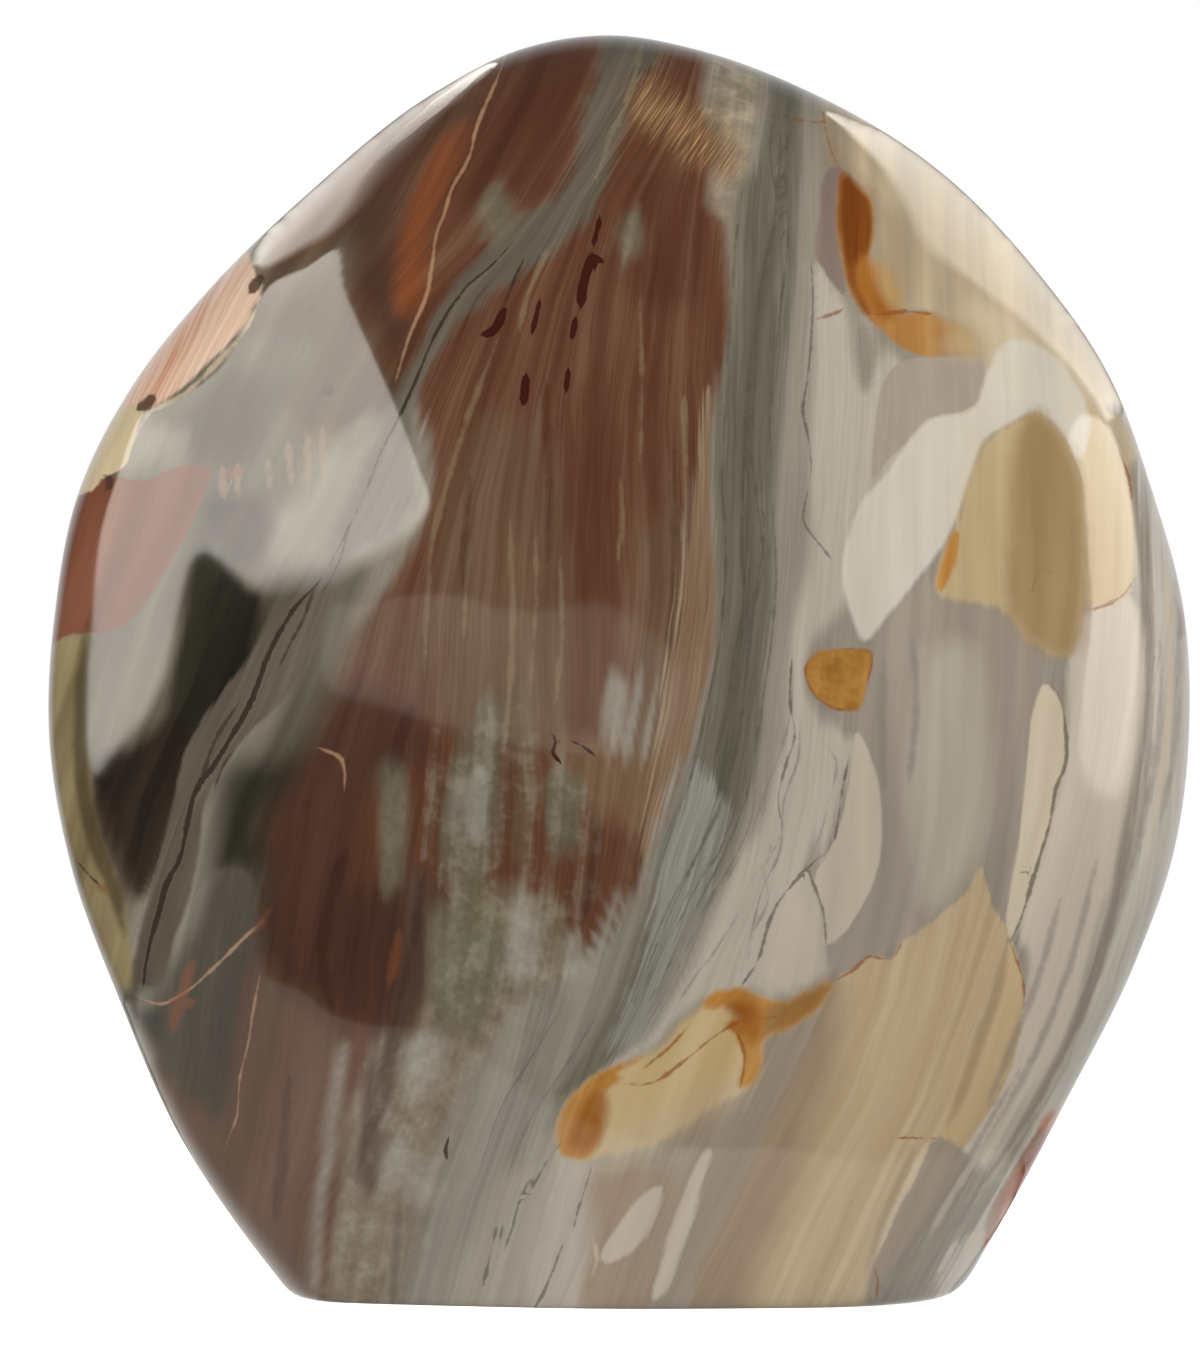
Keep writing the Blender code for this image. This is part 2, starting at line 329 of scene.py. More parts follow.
# What the stone is painted with, from the bottom layer up. An area's points are pixels of the picture,
# "soft" is the width of its edge and "ragged" how far the grain pulls the edge about, both in millimetres.
# "through" areas go on round the back; the others are only on the face.
areas = {
    "brick": {
        "paint": "brick", "crisp": False, "soft": 1.3, "ragged": 0.9, "through": True,
        "shapes": [
            [(250, -250), (290, 100), (262, 280), (225, 380), (212, 440), (300, 455), (395, 400), (415, 410),
             (424, 460), (418, 530), (385, 590), (345, 640), (318, 720), (292, 775), (266, 810), (255, 850),
             (252, 900), (238, 960), (212, 1020), (160, 1060), (110, 1120), (60, 1600), (330, 1600), (340, 1300),
             (350, 1200), (362, 1120), (372, 1080), (380, 1040), (400, 1036), (440, 1040), (470, 990), (500, 950),
             (550, 930), (580, 960), (592, 1000), (622, 960), (640, 900), (652, 840), (668, 770), (682, 700),
             (690, 640), (692, 560), (700, 480), (718, 400), (732, 330), (732, 260), (722, 205), (716, 160),
             (708, 110), (706, 60), (690, -250)],
        ],
    },
    "brick tan": {
        "paint": "tanBrick", "crisp": False, "soft": 1.6, "ragged": 2.2, "strength": 0.75, "through": False,
        "shapes": [
            [(514, 410), (474, 440), (444, 520), (430, 640), (440, 720), (500, 760), (560, 740), (575, 640),
             (560, 520), (540, 430)],
            [(650, 530), (692, 520), (692, 600), (684, 660), (668, 730), (634, 744), (622, 690), (634, 600)],
        ],
    },
    "brick deep": {
        "paint": "deepBrick", "crisp": False, "soft": 2.4, "ragged": 2.2, "through": False,
        "shapes": [
            [(300, 690), (380, 700), (440, 750), (372, 790), (366, 880), (430, 880), (470, 930),
             (450, 1000), (400, 1040), (330, 1030), (256, 985), (256, 850)],
        ],
    },
    "brick shade": {
        "paint": "umberBrick", "crisp": False, "soft": 3.0, "ragged": 1.0, "through": True,
        "shapes": [
            [(540, -200), (500, 60), (440, 110), (380, 180), (335, 240), (352, 300), (396, 356),
             (412, 300), (396, 250), (424, 160), (466, 116), (500, 90), (560, -200)],
        ],
    },
    "brick top": {
        "paint": "darkBrick", "crisp": False, "soft": 2.2, "ragged": 0.8, "strength": 0.75, "through": False,
        "shapes": [
            [(498, 52), (560, 44), (590, 60), (576, 110), (560, 180), (520, 200), (470, 210), (452, 200),
             (476, 120)],
            [(640, 176), (690, 176), (700, 220), (690, 300), (640, 300), (630, 230)],
        ],
    },
    "cheek top": {
        "paint": "umberCheek", "crisp": False, "soft": 2.6, "ragged": 0.8, "through": False,
        "shapes": [
            [(262, 276), (345, 234), (350, 290), (372, 344), (398, 404), (350, 420), (300, 424),
             (262, 400), (240, 360), (250, 320)],
        ],
    },
    "brick plum": {
        "paint": "plumBrick", "crisp": False, "soft": 2.6, "ragged": 1.2, "through": True,
        "shapes": [
            [(262, 975), (236, 1060), (205, 1100), (150, 1180), (180, 1600), (300, 1600), (314, 1290),
             (312, 1180), (330, 1070), (322, 1030), (296, 1000)],
        ],
    },
    "mottled grey": {
        "paint": "mottled", "crisp": False, "soft": 2.0, "ragged": 1.6, "through": True,
        "shapes": [
            [(362, 1084), (380, 1060), (392, 1046), (420, 1000), (434, 950), (452, 905), (484, 880),
             (520, 890), (548, 912), (566, 940), (590, 955), (604, 985), (584, 1030), (548, 1090),
             (512, 1140), (480, 1200), (455, 1290), (440, 1600), (290, 1600), (324, 1300), (332, 1210),
             (344, 1120)],
        ],
    },
    "blue stone": {
        "paint": "blueStone", "crisp": False, "soft": 1.6, "ragged": 1.2, "through": True,
        "shapes": [
            [(598, 940), (560, 980), (520, 1010), (480, 1060), (452, 1120), (430, 1190), (412, 1260),
             (400, 1310), (390, 1600), (470, 1600), (500, 1320), (520, 1240), (545, 1160), (580, 1090),
             (610, 1040), (640, 980), (640, 900), (620, 900)],
        ],
    },
    "lower pale": {
        "paint": "warmPearl", "crisp": False, "soft": 2.2, "ragged": 1.0, "through": True,
        "shapes": [
            [(500, 1186), (530, 1160), (556, 1130), (600, 1120), (640, 1150), (640, 1300), (620, 1600),
             (440, 1600), (452, 1300), (476, 1230)],
        ],
    },
    "umber streak": {
        "paint": "umberStreak", "crisp": False, "soft": 1.4, "ragged": 0.8, "through": False,
        "shapes": [
            [(404, 880), (434, 880), (430, 950), (420, 1010), (400, 1060), (386, 1100), (378, 1150),
             (370, 1190), (362, 1180), (360, 1130), (364, 1090), (378, 1040), (392, 980), (400, 930)],
        ],
    },
    "tan wash": {
        "paint": "tanWash", "crisp": False, "soft": 1.8, "ragged": 1.2, "strength": 0.7, "through": False,
        "shapes": [
            [(560, 744), (600, 736), (648, 756), (654, 800), (640, 836), (604, 812), (566, 806)],
        ],
    },
    "green patches": {
        "paint": "greenGrey", "crisp": False, "soft": 1.5, "ragged": 1.5, "strength": 0.8, "through": False,
        "shapes": [
            [(380, 772), (392, 768), (405, 790), (404, 850), (398, 886), (384, 880), (376, 830)],
            [(470, 720), (500, 700), (512, 730), (510, 790), (502, 850), (488, 886), (452, 884),
             (436, 850), (438, 800), (450, 760)],
            [(540, 776), (566, 770), (586, 786), (588, 826), (574, 846), (550, 842)],
            [(488, 196), (508, 194), (518, 222), (502, 250), (484, 240)],
            [(616, 218), (638, 214), (644, 242), (626, 262), (610, 252)],
            [(440, 900), (480, 892), (510, 930), (500, 990), (470, 1030), (440, 1010), (432, 950)],
        ],
    },
    "olive patches": {
        "paint": "olivePatch", "crisp": False, "soft": 1.6, "ragged": 1.4, "strength": 0.6, "through": False,
        "shapes": [
            [(474, 886), (500, 880), (514, 906), (500, 936), (478, 930)],
            [(536, 912), (560, 906), (578, 926), (566, 948), (542, 944)],
            [(500, 700), (530, 690), (546, 730), (536, 800), (520, 860), (506, 840), (510, 770)],
        ],
    },
    "pale patches": {
        "paint": "whitish", "crisp": False, "soft": 1.3, "ragged": 1.5, "strength": 0.7, "through": False,
        "shapes": [
            [(606, 680), (626, 670), (640, 690), (640, 740), (626, 762), (606, 750), (598, 716)],
            [(512, 905), (530, 900), (538, 935), (530, 972), (514, 980), (508, 940)],
            [(570, 934), (586, 936), (586, 980), (572, 1000), (562, 970)],
            [(410, 1044), (436, 1040), (438, 1072), (420, 1086), (406, 1070)],
            [(456, 780), (478, 772), (490, 800), (480, 830), (458, 826)],
            [(394, 1150), (414, 1150), (414, 1182), (396, 1186)],
            [(422, 1176), (440, 1178), (438, 1204), (420, 1202)],
        ],
    },
    "left pale line": {
        "paint": "whitish", "crisp": False, "soft": 0.9, "ragged": 0.3, "strength": 0.75, "through": False,
        "shapes": [
            [(350, 1044), (343, 1096), (334, 1150), (326, 1210), (318, 1290), (308, 1296), (314, 1220),
             (322, 1150), (331, 1096), (340, 1048)],
        ],
    },
    "white flecks": {
        "paint": "whitish", "crisp": True, "soft": 1.0, "ragged": 2.2, "most": -0.6, "pull": "cloud", "strength": 0.18, "through": False,
        "shapes": [
            [(372, 1060), (440, 1030), (470, 960), (520, 930), (560, 960), (540, 1060), (480, 1130),
             (440, 1220), (430, 1310), (362, 1310), (366, 1160)],
            [(440, 740), (500, 720), (580, 780), (590, 860), (560, 920), (440, 880)],
        ],
    },
    "grey branch": {
        "paint": "branch", "crisp": True, "soft": 1.0, "ragged": 0.9, "strength": 0.85, "through": True,
        "shapes": [
            [(610, -200), (600, 60), (586, 100), (578, 150), (560, 190), (528, 214), (500, 240),
             (466, 270), (440, 304), (424, 345), (404, 380), (384, 424), (360, 476), (336, 530),
             (318, 580), (330, 590), (356, 556), (396, 530), (416, 500), (412, 460), (412, 410),
             (428, 370), (454, 330), (488, 298), (540, 262), (584, 226), (604, 190), (616, 150),
             (628, 110), (648, 70), (664, 40), (680, -200)],
        ],
    },
    "cheek grey": {
        "paint": "sage", "crisp": False, "soft": 2.4, "ragged": 0.8, "through": True,
        "shapes": [
            [(-700, 300), (236, 330), (262, 396), (330, 436), (396, 410), (424, 470), (400, 540),
             (340, 600), (290, 640), (250, 672), (215, 730), (176, 800), (146, 872), (124, 960),
             (104, 1010), (-700, 1300)],
        ],
    },
    "cheek olive": {
        "paint": "moor", "crisp": False, "soft": 2.8, "ragged": 0.6, "through": False,
        "shapes": [
            [(204, 392), (244, 372), (262, 410), (250, 448), (212, 458), (172, 448), (166, 424)],
        ],
    },
    "vein shadow": {
        "paint": "moorDark", "crisp": False, "soft": 2.8, "ragged": 0.6, "through": False,
        "shapes": [
            [(222, 770), (262, 744), (300, 724), (292, 778), (264, 826), (262, 872), (212, 874),
             (212, 822)],
        ],
    },
    "cheek pale": {
        "paint": "mist", "crisp": False, "soft": 2.2, "ragged": 0.8, "through": False,
        "shapes": [
            [(330, 452), (380, 424), (412, 436), (424, 482), (402, 528), (352, 556), (300, 566),
             (262, 556), (256, 524), (300, 500)],
            [(124, 424), (160, 420), (176, 436), (160, 462), (128, 470)],
        ],
    },
    "cheek smudge": {
        "paint": "moorDark", "crisp": False, "soft": 1.8, "ragged": 0.5, "strength": 0.85, "through": False,
        "shapes": [
            [(206, 505), (236, 492), (262, 500), (276, 530), (262, 560), (236, 566), (214, 548)],
        ],
    },
    "lower green": {
        "paint": "fern", "crisp": False, "soft": 2.0, "ragged": 0.8, "through": False,
        "shapes": [
            [(212, 874), (262, 872), (254, 930), (240, 1000), (226, 1070), (210, 1110), (160, 1060),
             (120, 1000), (150, 1004), (190, 930)],
        ],
    },
    "vein side": {
        "paint": "lichen", "crisp": False, "soft": 2.8, "ragged": 0.6, "through": False,
        "shapes": [
            [(306, 586), (350, 566), (372, 580), (352, 630), (334, 680), (314, 724), (292, 750),
             (256, 756), (276, 690), (296, 640)],
        ],
    },
    "olive": {
        "paint": "olive", "crisp": False, "soft": 1.0, "ragged": 0.4, "through": False,
        "shapes": [
            [(205, 545), (238, 580), (264, 600), (254, 650), (240, 690), (205, 728), (184, 762),
             (166, 800), (150, 790), (160, 730), (168, 700), (176, 650), (186, 590)],
        ],
    },
    "sepia": {
        "paint": "sepia", "crisp": False, "soft": 1.2, "ragged": 0.4, "through": False,
        "shapes": [
            [(170, 718), (194, 738), (186, 780), (176, 830), (162, 872), (142, 900), (126, 890), (104, 846),
             (92, 792), (98, 760), (130, 748)],
        ],
    },
    "vein bed": {
        "paint": "veinBed", "crisp": True, "soft": 0.3, "ragged": 0.3, "through": False,
        "shapes": [
            [(262, 640), (290, 600), (312, 580), (330, 590), (318, 640), (290, 690), (248, 735), (222, 770),
             (206, 800), (199, 850), (188, 900), (174, 940), (162, 985), (136, 980), (134, 960), (148, 900),
             (162, 850), (178, 780), (190, 740), (216, 700)],
        ],
    },
    # Painted shade: a soft umber darkening laid over the lower left rim.
    "rim painted shade": {
        "paint": "umberCheek", "crisp": False, "soft": 2.2, "ragged": 0.6, "strength": 0.8, "through": False,
        "shapes": [
            [(66, 800), (90, 792), (104, 840), (124, 880), (128, 910), (104, 906), (82, 870)],
        ],
    },
    "left brick": {
        "paint": "rust", "crisp": True, "soft": 0.2, "ragged": 0.25, "through": False,
        "shapes": [
            [(20, 470), (99, 479), (117, 476), (143, 482), (159, 475), (182, 466), (212, 468), (206, 489),
             (191, 527), (174, 556), (159, 582), (139, 611), (124, 626), (103, 634), (74, 633), (20, 640)],
        ],
    },
    "left salmon": {
        "paint": "salmon", "crisp": True, "soft": 0.3, "ragged": 0.2, "through": False,
        "shapes": [
            [(258, 282), (254, 306), (238, 332), (212, 358), (184, 386), (158, 404), (144, 410), (80, 420),
             (60, 300), (200, 180)],
        ],
    },
    "left cream": {
        "paint": "cream", "crisp": True, "soft": 0.2, "ragged": 0.15, "through": False,
        "shapes": [
            [(148, 411), (140, 420), (132, 450), (122, 470), (99, 479), (92, 491), (30, 500), (30, 430),
             (92, 420), (130, 404)],
        ],
    },
    "left rim": {
        "paint": "celadon", "crisp": False, "soft": 0.6, "ragged": 0.3, "through": True,
        "shapes": [
            [(-200, 636), (74, 634), (88, 640), (90, 700), (88, 744), (91, 790), (99, 840), (113, 874),
             (126, 912), (131, 950), (132, 982), (100, 990), (-200, 1000)],
        ],
    },
    "orange streak": {
        "paint": "orange", "crisp": False, "soft": 1.4, "ragged": 1.0, "through": False,
        "shapes": [
            [(466, 124), (456, 160), (440, 200), (430, 240), (424, 290), (404, 318), (392, 300), (396, 260),
             (406, 220), (420, 180), (440, 146)],
        ],
    },
    "scratchy yellow": {
        "paint": "straw", "crisp": True, "soft": 2.2, "ragged": 1.0, "strength": 0.85, "through": False,
        "shapes": [
            [(632, 92), (650, 84), (680, 100), (712, 118), (736, 150), (730, 176), (700, 164), (668, 140),
             (640, 120)],
        ],
    },
    "top gravel": {
        "paint": "gravel", "crisp": False, "soft": 0.7, "ragged": 1.0, "through": True,
        "shapes": [
            [(706, -200), (708, 66), (704, 110), (722, 140), (720, 170), (716, 205), (726, 216), (744, 190),
             (752, 150), (764, 110), (768, 70), (770, -200)],
        ],
    },
    "edge streaks": {
        "paint": "hay", "crisp": True, "soft": 0.5, "ragged": 1.1, "pull": "thread", "through": True,
        "shapes": [
            [(706, 390), (694, 480), (684, 560), (674, 640), (662, 700), (648, 775), (640, 850), (650, 870),
             (668, 830), (688, 770), (706, 700), (718, 640), (716, 540), (712, 460), (714, 400)],
        ],
    },
    "fibrous band": {
        "paint": "fibrous", "crisp": True, "soft": 0.7, "ragged": 1.2, "pull": "thread", "through": True,
        "shapes": [
            [(776, -200), (770, 60), (764, 120), (752, 165), (736, 200), (734, 240), (734, 300),
             (727, 350), (716, 400), (712, 460), (716, 540), (716, 620), (712, 670), (700, 720),
             (686, 765), (668, 815), (652, 862), (644, 905), (630, 950), (610, 1005), (586, 1050),
             (556, 1092), (566, 1098), (600, 1074), (630, 1040), (660, 985), (690, 925), (720, 880),
             (735, 840), (750, 790), (760, 735), (766, 670), (774, 600), (774, 500), (782, 400),
             (792, 320), (798, 240), (802, 160), (800, 90), (806, 40), (820, -200)],
        ],
    },
    "band heart": {
        "paint": "moss", "crisp": True, "soft": 0.8, "ragged": 1.2, "pull": "thread", "through": True,
        "shapes": [
            [(790, -200), (786, 90), (782, 180), (764, 250), (750, 320), (744, 400), (740, 470), (742, 540),
             (740, 600), (730, 660), (722, 730), (710, 790), (700, 835), (698, 860), (712, 850), (728, 800),
             (738, 735), (746, 660), (754, 590), (752, 500), (754, 400), (764, 320), (778, 240), (788, 170),
             (794, 90), (805, -200)],
        ],
    },
    "blue grey": {
        "paint": "blueGrey", "crisp": True, "soft": 1.2, "ragged": 1.4, "through": False,
        "shapes": [
            [(690, 760), (668, 820), (650, 880), (650, 940), (630, 1000), (606, 1050), (640, 1036),
             (672, 980), (700, 920), (720, 870), (732, 820), (716, 790)],
        ],
    },
    "pale grey": {
        "paint": "pearl", "crisp": False, "soft": 1.0, "ragged": 0.9, "through": True,
        "shapes": [
            [(812, 262), (824, 272), (846, 300), (880, 350), (904, 372), (930, 415), (895, 460), (858, 509),
             (846, 546), (842, 600), (820, 640), (806, 680), (830, 730), (855, 740), (840, 800), (812, 862),
             (806, 900), (826, 950), (822, 985), (790, 1000), (745, 992), (700, 1008),
             (650, 1050), (612, 1066), (650, 1028), (684, 975), (716, 900), (760, 820), (788, 740), (796, 640),
             (808, 540), (804, 450), (812, 350)],
            [(640, 1050), (600, 1075), (568, 1110), (556, 1150), (530, 1230), (520, 1320), (500, 1600),
             (640, 1600), (650, 1290), (680, 1200), (705, 1140), (640, 1165), (590, 1165), (560, 1130)],
        ],
    },
    "lower beige": {
        "paint": "beige", "crisp": False, "soft": 1.6, "ragged": 0.8, "through": False,
        "shapes": [
            [(596, 1176), (640, 1160), (676, 1160), (672, 1210), (650, 1262), (640, 1320), (600, 1320),
             (584, 1290), (590, 1230)],
        ],
    },
    "grey wedge": {
        "paint": "greyBeige", "crisp": False, "soft": 0.9, "ragged": 0.5, "through": False,
        "shapes": [
            [(848, 300), (866, 330), (880, 350), (872, 374), (862, 388), (852, 366), (849, 330)],
        ],
    },
    "mauve lens": {
        "paint": "mauve", "crisp": True, "soft": 0.25, "ragged": 0.2, "through": False,
        "shapes": [
            [(843, 168), (828, 168), (820, 190), (820, 215), (813, 250), (823, 268), (846, 296),
             (838, 240), (837, 205)],
        ],
    },
    "shoulder": {
        "paint": "dove", "crisp": False, "soft": 0.5, "ragged": 0.3, "through": True,
        "shapes": [
            [(823, 113), (835, 150), (850, 176), (872, 200), (876, 244), (868, 270), (880, 300), (905, 308),
             (950, 318), (980, 340), (1000, 380), (1040, 400), (1100, 440), (1140, 460), (1300, 300), (1000, -100),
             (800, -200)],
        ],
    },
    "shoulder shade": {
        "paint": "doveDark", "crisp": False, "soft": 1.8, "ragged": 0.4, "through": False,
        "shapes": [
            [(872, 200), (900, 214), (912, 250), (908, 296), (896, 306), (882, 298), (870, 268),
             (876, 240)],
        ],
    },
    "shoulder brown": {
        "paint": "taupe", "crisp": False, "soft": 1.4, "ragged": 0.4, "through": False,
        "shapes": [
            [(828, 124), (840, 150), (856, 176), (874, 196), (862, 206), (840, 190), (829, 160)],
        ],
    },
    "shoulder cream": {
        "paint": "shoulderCream", "crisp": False, "soft": 2.4, "ragged": 0.3, "through": False,
        "shapes": [
            [(968, 302), (1000, 308), (1040, 332), (1080, 372), (1110, 420), (1100, 450), (1060, 440),
             (1040, 410), (990, 420), (960, 470), (940, 430), (976, 380), (985, 345), (968, 322)],
        ],
    },
    "mauve lobe": {
        "paint": "mauveStreak", "crisp": True, "soft": 0.2, "ragged": 0.1, "through": False,
        "shapes": [
            [(905, 360), (950, 356), (978, 356), (985, 370), (984, 388), (974, 406), (952, 414), (930, 416),
             (905, 445), (888, 460), (872, 480), (876, 420), (884, 380)],
        ],
    },
    "pale diagonal": {
        "paint": "chalk", "crisp": True, "soft": 0.4, "ragged": 0.2, "strength": 0.85, "through": False,
        "shapes": [
            [(1010, 340), (985, 378), (976, 407), (952, 415), (934, 416), (910, 440), (885, 474), (858, 509),
             (846, 546), (843, 580), (862, 642), (880, 625), (904, 596), (935, 556), (958, 515), (972, 470),
             (984, 440), (1010, 424), (1035, 412), (1060, 430), (1078, 460), (1090, 420), (1060, 360)],
        ],
    },
    "right cream": {
        "paint": "butter", "crisp": False, "soft": 0.6, "ragged": 0.3, "through": True,
        "shapes": [
            [(1060, 400), (1078, 468), (1086, 529), (1088, 603), (1100, 612), (1120, 600), (1134, 578),
             (1133, 520), (1128, 480), (1110, 440), (1090, 405)],
            [(966, 430), (985, 425), (975, 470), (962, 500), (955, 520), (950, 500), (962, 470)],
        ],
    },
    # Pale grey stone along the right rim, its paint made lighter than the stone's own grey: partly painted light on
    # that side.
    "right rim painted light": {
        "paint": "stoneGreyPaintedLight", "crisp": True, "soft": 0.6, "ragged": 0.8, "through": True,
        "shapes": [
            [(1132, 430), (1146, 520), (1150, 660), (1140, 790), (1112, 930), (1084, 1020), (1040, 1110),
             (984, 1210), (930, 1310), (900, 1600), (1500, 1400), (1400, 300), (1120, 396)],
        ],
    },
    "right pale": {
        "paint": "blush", "crisp": False, "soft": 0.7, "ragged": 0.5, "through": True,
        "shapes": [
            [(1072, 640), (1090, 612), (1112, 606), (1135, 600), (1146, 660), (1140, 740), (1130, 800),
             (1112, 880), (1085, 970), (1060, 1040), (1020, 1110), (985, 1170), (960, 1140), (985, 1080),
             (1014, 1020), (1030, 960), (1020, 920), (1040, 860), (1056, 800), (1066, 740)],
        ],
    },
    "dark mauve": {
        "paint": "dusk", "crisp": False, "soft": 0.7, "ragged": 0.3, "through": True,
        "shapes": [
            [(935, 596), (972, 604), (1010, 615), (1040, 655), (1040, 690), (1028, 760), (1018, 850), (1008, 925),
             (990, 880), (975, 865), (950, 900), (910, 940), (870, 958), (840, 975), (822, 944), (850, 930),
             (872, 890), (882, 830), (876, 770), (858, 732), (862, 700), (872, 650), (880, 628), (905, 598),
             (925, 575)],
        ],
    },
    "mauve light": {
        "paint": "duskLight", "crisp": False, "soft": 2.2, "ragged": 0.5, "through": False,
        "shapes": [
            [(930, 650), (972, 646), (986, 720), (984, 830), (958, 884), (925, 900), (914, 800),
             (918, 700)],
        ],
    },
    "tan patch": {
        "paint": "sand", "crisp": True, "soft": 0.6, "ragged": 0.4, "through": False,
        "shapes": [
            [(1033, 415), (1010, 424), (988, 440), (974, 466), (964, 493), (956, 525), (943, 558), (935, 586),
             (945, 597), (972, 603), (1003, 611), (1021, 631), (1046, 652), (1074, 652), (1082, 625), (1086, 580),
             (1086, 529), (1078, 468), (1062, 435), (1045, 418)],
        ],
    },
    "tan patch shade": {
        "paint": "khaki", "crisp": True, "soft": 1.4, "ragged": 0.6, "through": False,
        "shapes": [
            [(1033, 415), (1018, 432), (1010, 480), (1008, 530), (1006, 580), (1010, 612), (1022, 632),
             (1046, 652), (1074, 652), (1082, 625), (1086, 580), (1086, 529), (1078, 468), (1062, 435),
             (1045, 418)],
        ],
    },
    "cream lobe": {
        "paint": "shell", "crisp": True, "soft": 0.2, "ragged": 0.15, "through": False,
        "shapes": [
            [(856, 732), (874, 765), (881, 810), (879, 860), (866, 898), (845, 932), (823, 946), (824, 915),
             (814, 882), (822, 862), (838, 830), (850, 780)],
        ],
    },
    "small lobe": {
        "paint": "shell", "crisp": True, "soft": 0.4, "ragged": 0.15, "strength": 0.8, "through": False,
        "shapes": [
            [(806, 870), (820, 905), (826, 944), (822, 975), (790, 985), (762, 978), (758, 940),
             (776, 905)],
        ],
    },
    "cream lens": {
        "paint": "creamLens", "crisp": True, "soft": 0.25, "ragged": 0.15, "through": False,
        "shapes": [
            [(1047, 684), (1060, 700), (1065, 723), (1066, 762), (1056, 790), (1048, 830), (1035, 872), (1021, 915),
             (1010, 940), (1006, 925), (1011, 884), (1018, 850), (1022, 805), (1027, 754), (1031, 715), (1039, 690)],
        ],
    },
    "brown haze": {
        "paint": "beige", "crisp": False, "soft": 4.0, "ragged": 0.8, "through": True,
        "shapes": [
            [(720, 1092), (790, 1020), (812, 1000), (800, 1100), (760, 1200), (730, 1300), (720, 1600),
             (560, 1600), (632, 1300), (650, 1220), (676, 1170)],
        ],
    },
    "tan floor": {
        "paint": "tan", "crisp": True, "soft": 0.3, "ragged": 0.25, "through": True,
        "shapes": [
            [(982, 866), (992, 905), (1008, 930), (1004, 960), (991, 1000), (976, 1034), (962, 1075), (946, 1119),
             (935, 1142), (912, 1180), (889, 1219), (873, 1250), (868, 1300), (820, 1600), (640, 1600),
             (690, 1300), (720, 1220), (760, 1130), (790, 1060), (820, 1005), (834, 981), (855, 969), (869, 956),
             (891, 958), (901, 944), (923, 928), (950, 908), (969, 890)],
        ],
    },
    "tan shade": {
        "paint": "taupe", "crisp": True, "soft": 2.6, "ragged": 0.5, "through": True,
        "shapes": [
            [(806, 1006), (838, 984), (832, 1060), (808, 1130), (780, 1210), (750, 1300), (740, 1600),
             (560, 1600), (640, 1300), (676, 1230), (712, 1150), (752, 1080)],
        ],
    },
    "olive lens": {
        "paint": "fennel", "crisp": True, "soft": 0.25, "ragged": 0.3, "through": False,
        "shapes": [
            [(1010, 938), (1024, 985), (1020, 1030), (1008, 1076), (985, 1118), (962, 1148), (942, 1138),
             (948, 1110), (962, 1072), (978, 1032), (994, 994), (1004, 960)],
        ],
    },
    "red edge": {
        "paint": "salmonRed", "crisp": True, "soft": 0.5, "ragged": 0.3, "through": False,
        "shapes": [
            [(1052, 1112), (1034, 1142), (1014, 1172), (1000, 1200), (990, 1230), (984, 1250),
             (1060, 1240), (1100, 1120)],
        ],
    },
    "lower mauve": {
        "paint": "slate", "crisp": True, "soft": 0.5, "ragged": 0.5, "through": True,
        "shapes": [
            [(935, 1142), (960, 1150), (970, 1165), (950, 1200), (915, 1246), (880, 1300), (840, 1600), (815, 1600),
             (866, 1300), (880, 1240), (905, 1200)],
            [(826, 1000), (800, 1060), (770, 1120), (742, 1180), (712, 1245), (690, 1300), (640, 1600), (620, 1600),
             (650, 1290), (676, 1210), (704, 1140), (742, 1095), (764, 1060), (790, 1010), (812, 990)],
        ],
    },
    "cream wedge": {
        "paint": "shell", "crisp": True, "soft": 0.35, "ragged": 0.3, "through": False,
        "shapes": [
            [(664, 1188), (650, 1190), (630, 1210), (612, 1234), (600, 1254), (606, 1262), (632, 1252),
             (652, 1226)],
            [(700, 1156), (712, 1150), (700, 1190), (686, 1240), (668, 1290), (650, 1300), (664, 1250),
             (682, 1200)],
        ],
    },
    "honey band": {
        "paint": "butterGlass", "crisp": True, "soft": 0.7, "ragged": 0.4, "through": False,
        "shapes": [
            [(832, 984), (808, 993), (784, 1003), (758, 995), (737, 989), (715, 991), (700, 1006),
             (680, 1024), (667, 1041), (641, 1058), (607, 1069), (583, 1084), (565, 1108), (557, 1134),
             (563, 1154), (585, 1160), (611, 1154), (654, 1143), (706, 1112), (737, 1095), (754, 1084),
             (763, 1063), (761, 1041), (776, 1032), (797, 1024), (819, 1006)],
        ],
    },
    "honey fade": {
        "paint": "fadedHoney", "crisp": True, "soft": 2.2, "ragged": 0.5, "strength": 0.6, "through": False,
        "shapes": [
            [(600, 1140), (640, 1122), (690, 1096), (730, 1074), (748, 1086), (730, 1106), (690, 1130),
             (650, 1152), (606, 1164)],
        ],
    },
    "honey rim": {
        "paint": "saffron", "crisp": True, "soft": 0.5, "ragged": 0.35, "through": False,
        "shapes": [
            [(832, 984), (808, 993), (784, 1003), (758, 995), (737, 989), (715, 991), (700, 1006),
             (714, 1010), (730, 1006), (740, 1016), (726, 1024), (735, 1034), (744, 1060), (738, 1086),
             (754, 1084), (763, 1063), (761, 1041), (776, 1032), (797, 1024), (819, 1006)],
            [(641, 1058), (607, 1069), (583, 1084), (565, 1108), (557, 1134), (563, 1154), (585, 1158),
             (598, 1146), (602, 1124), (594, 1106), (606, 1090), (622, 1080), (616, 1074)],
        ],
    },
    "honey deep": {
        "paint": "amberLight", "crisp": True, "soft": 0.9, "ragged": 0.6, "strength": 0.85, "through": False,
        "shapes": [
            [(728, 1006), (752, 1002), (764, 1012), (764, 1030), (754, 1044), (744, 1034), (736, 1018)],
            [(588, 1098), (602, 1090), (608, 1100), (606, 1126), (598, 1144), (582, 1150), (570, 1142),
             (576, 1118)],
        ],
    },
    "honey tail": {
        "paint": "umberGlass", "crisp": True, "soft": 0.8, "ragged": 0.4, "strength": 0.8, "through": False,
        "shapes": [
            [(772, 1004), (790, 999), (812, 990), (834, 982), (822, 1002), (800, 1020), (780, 1030),
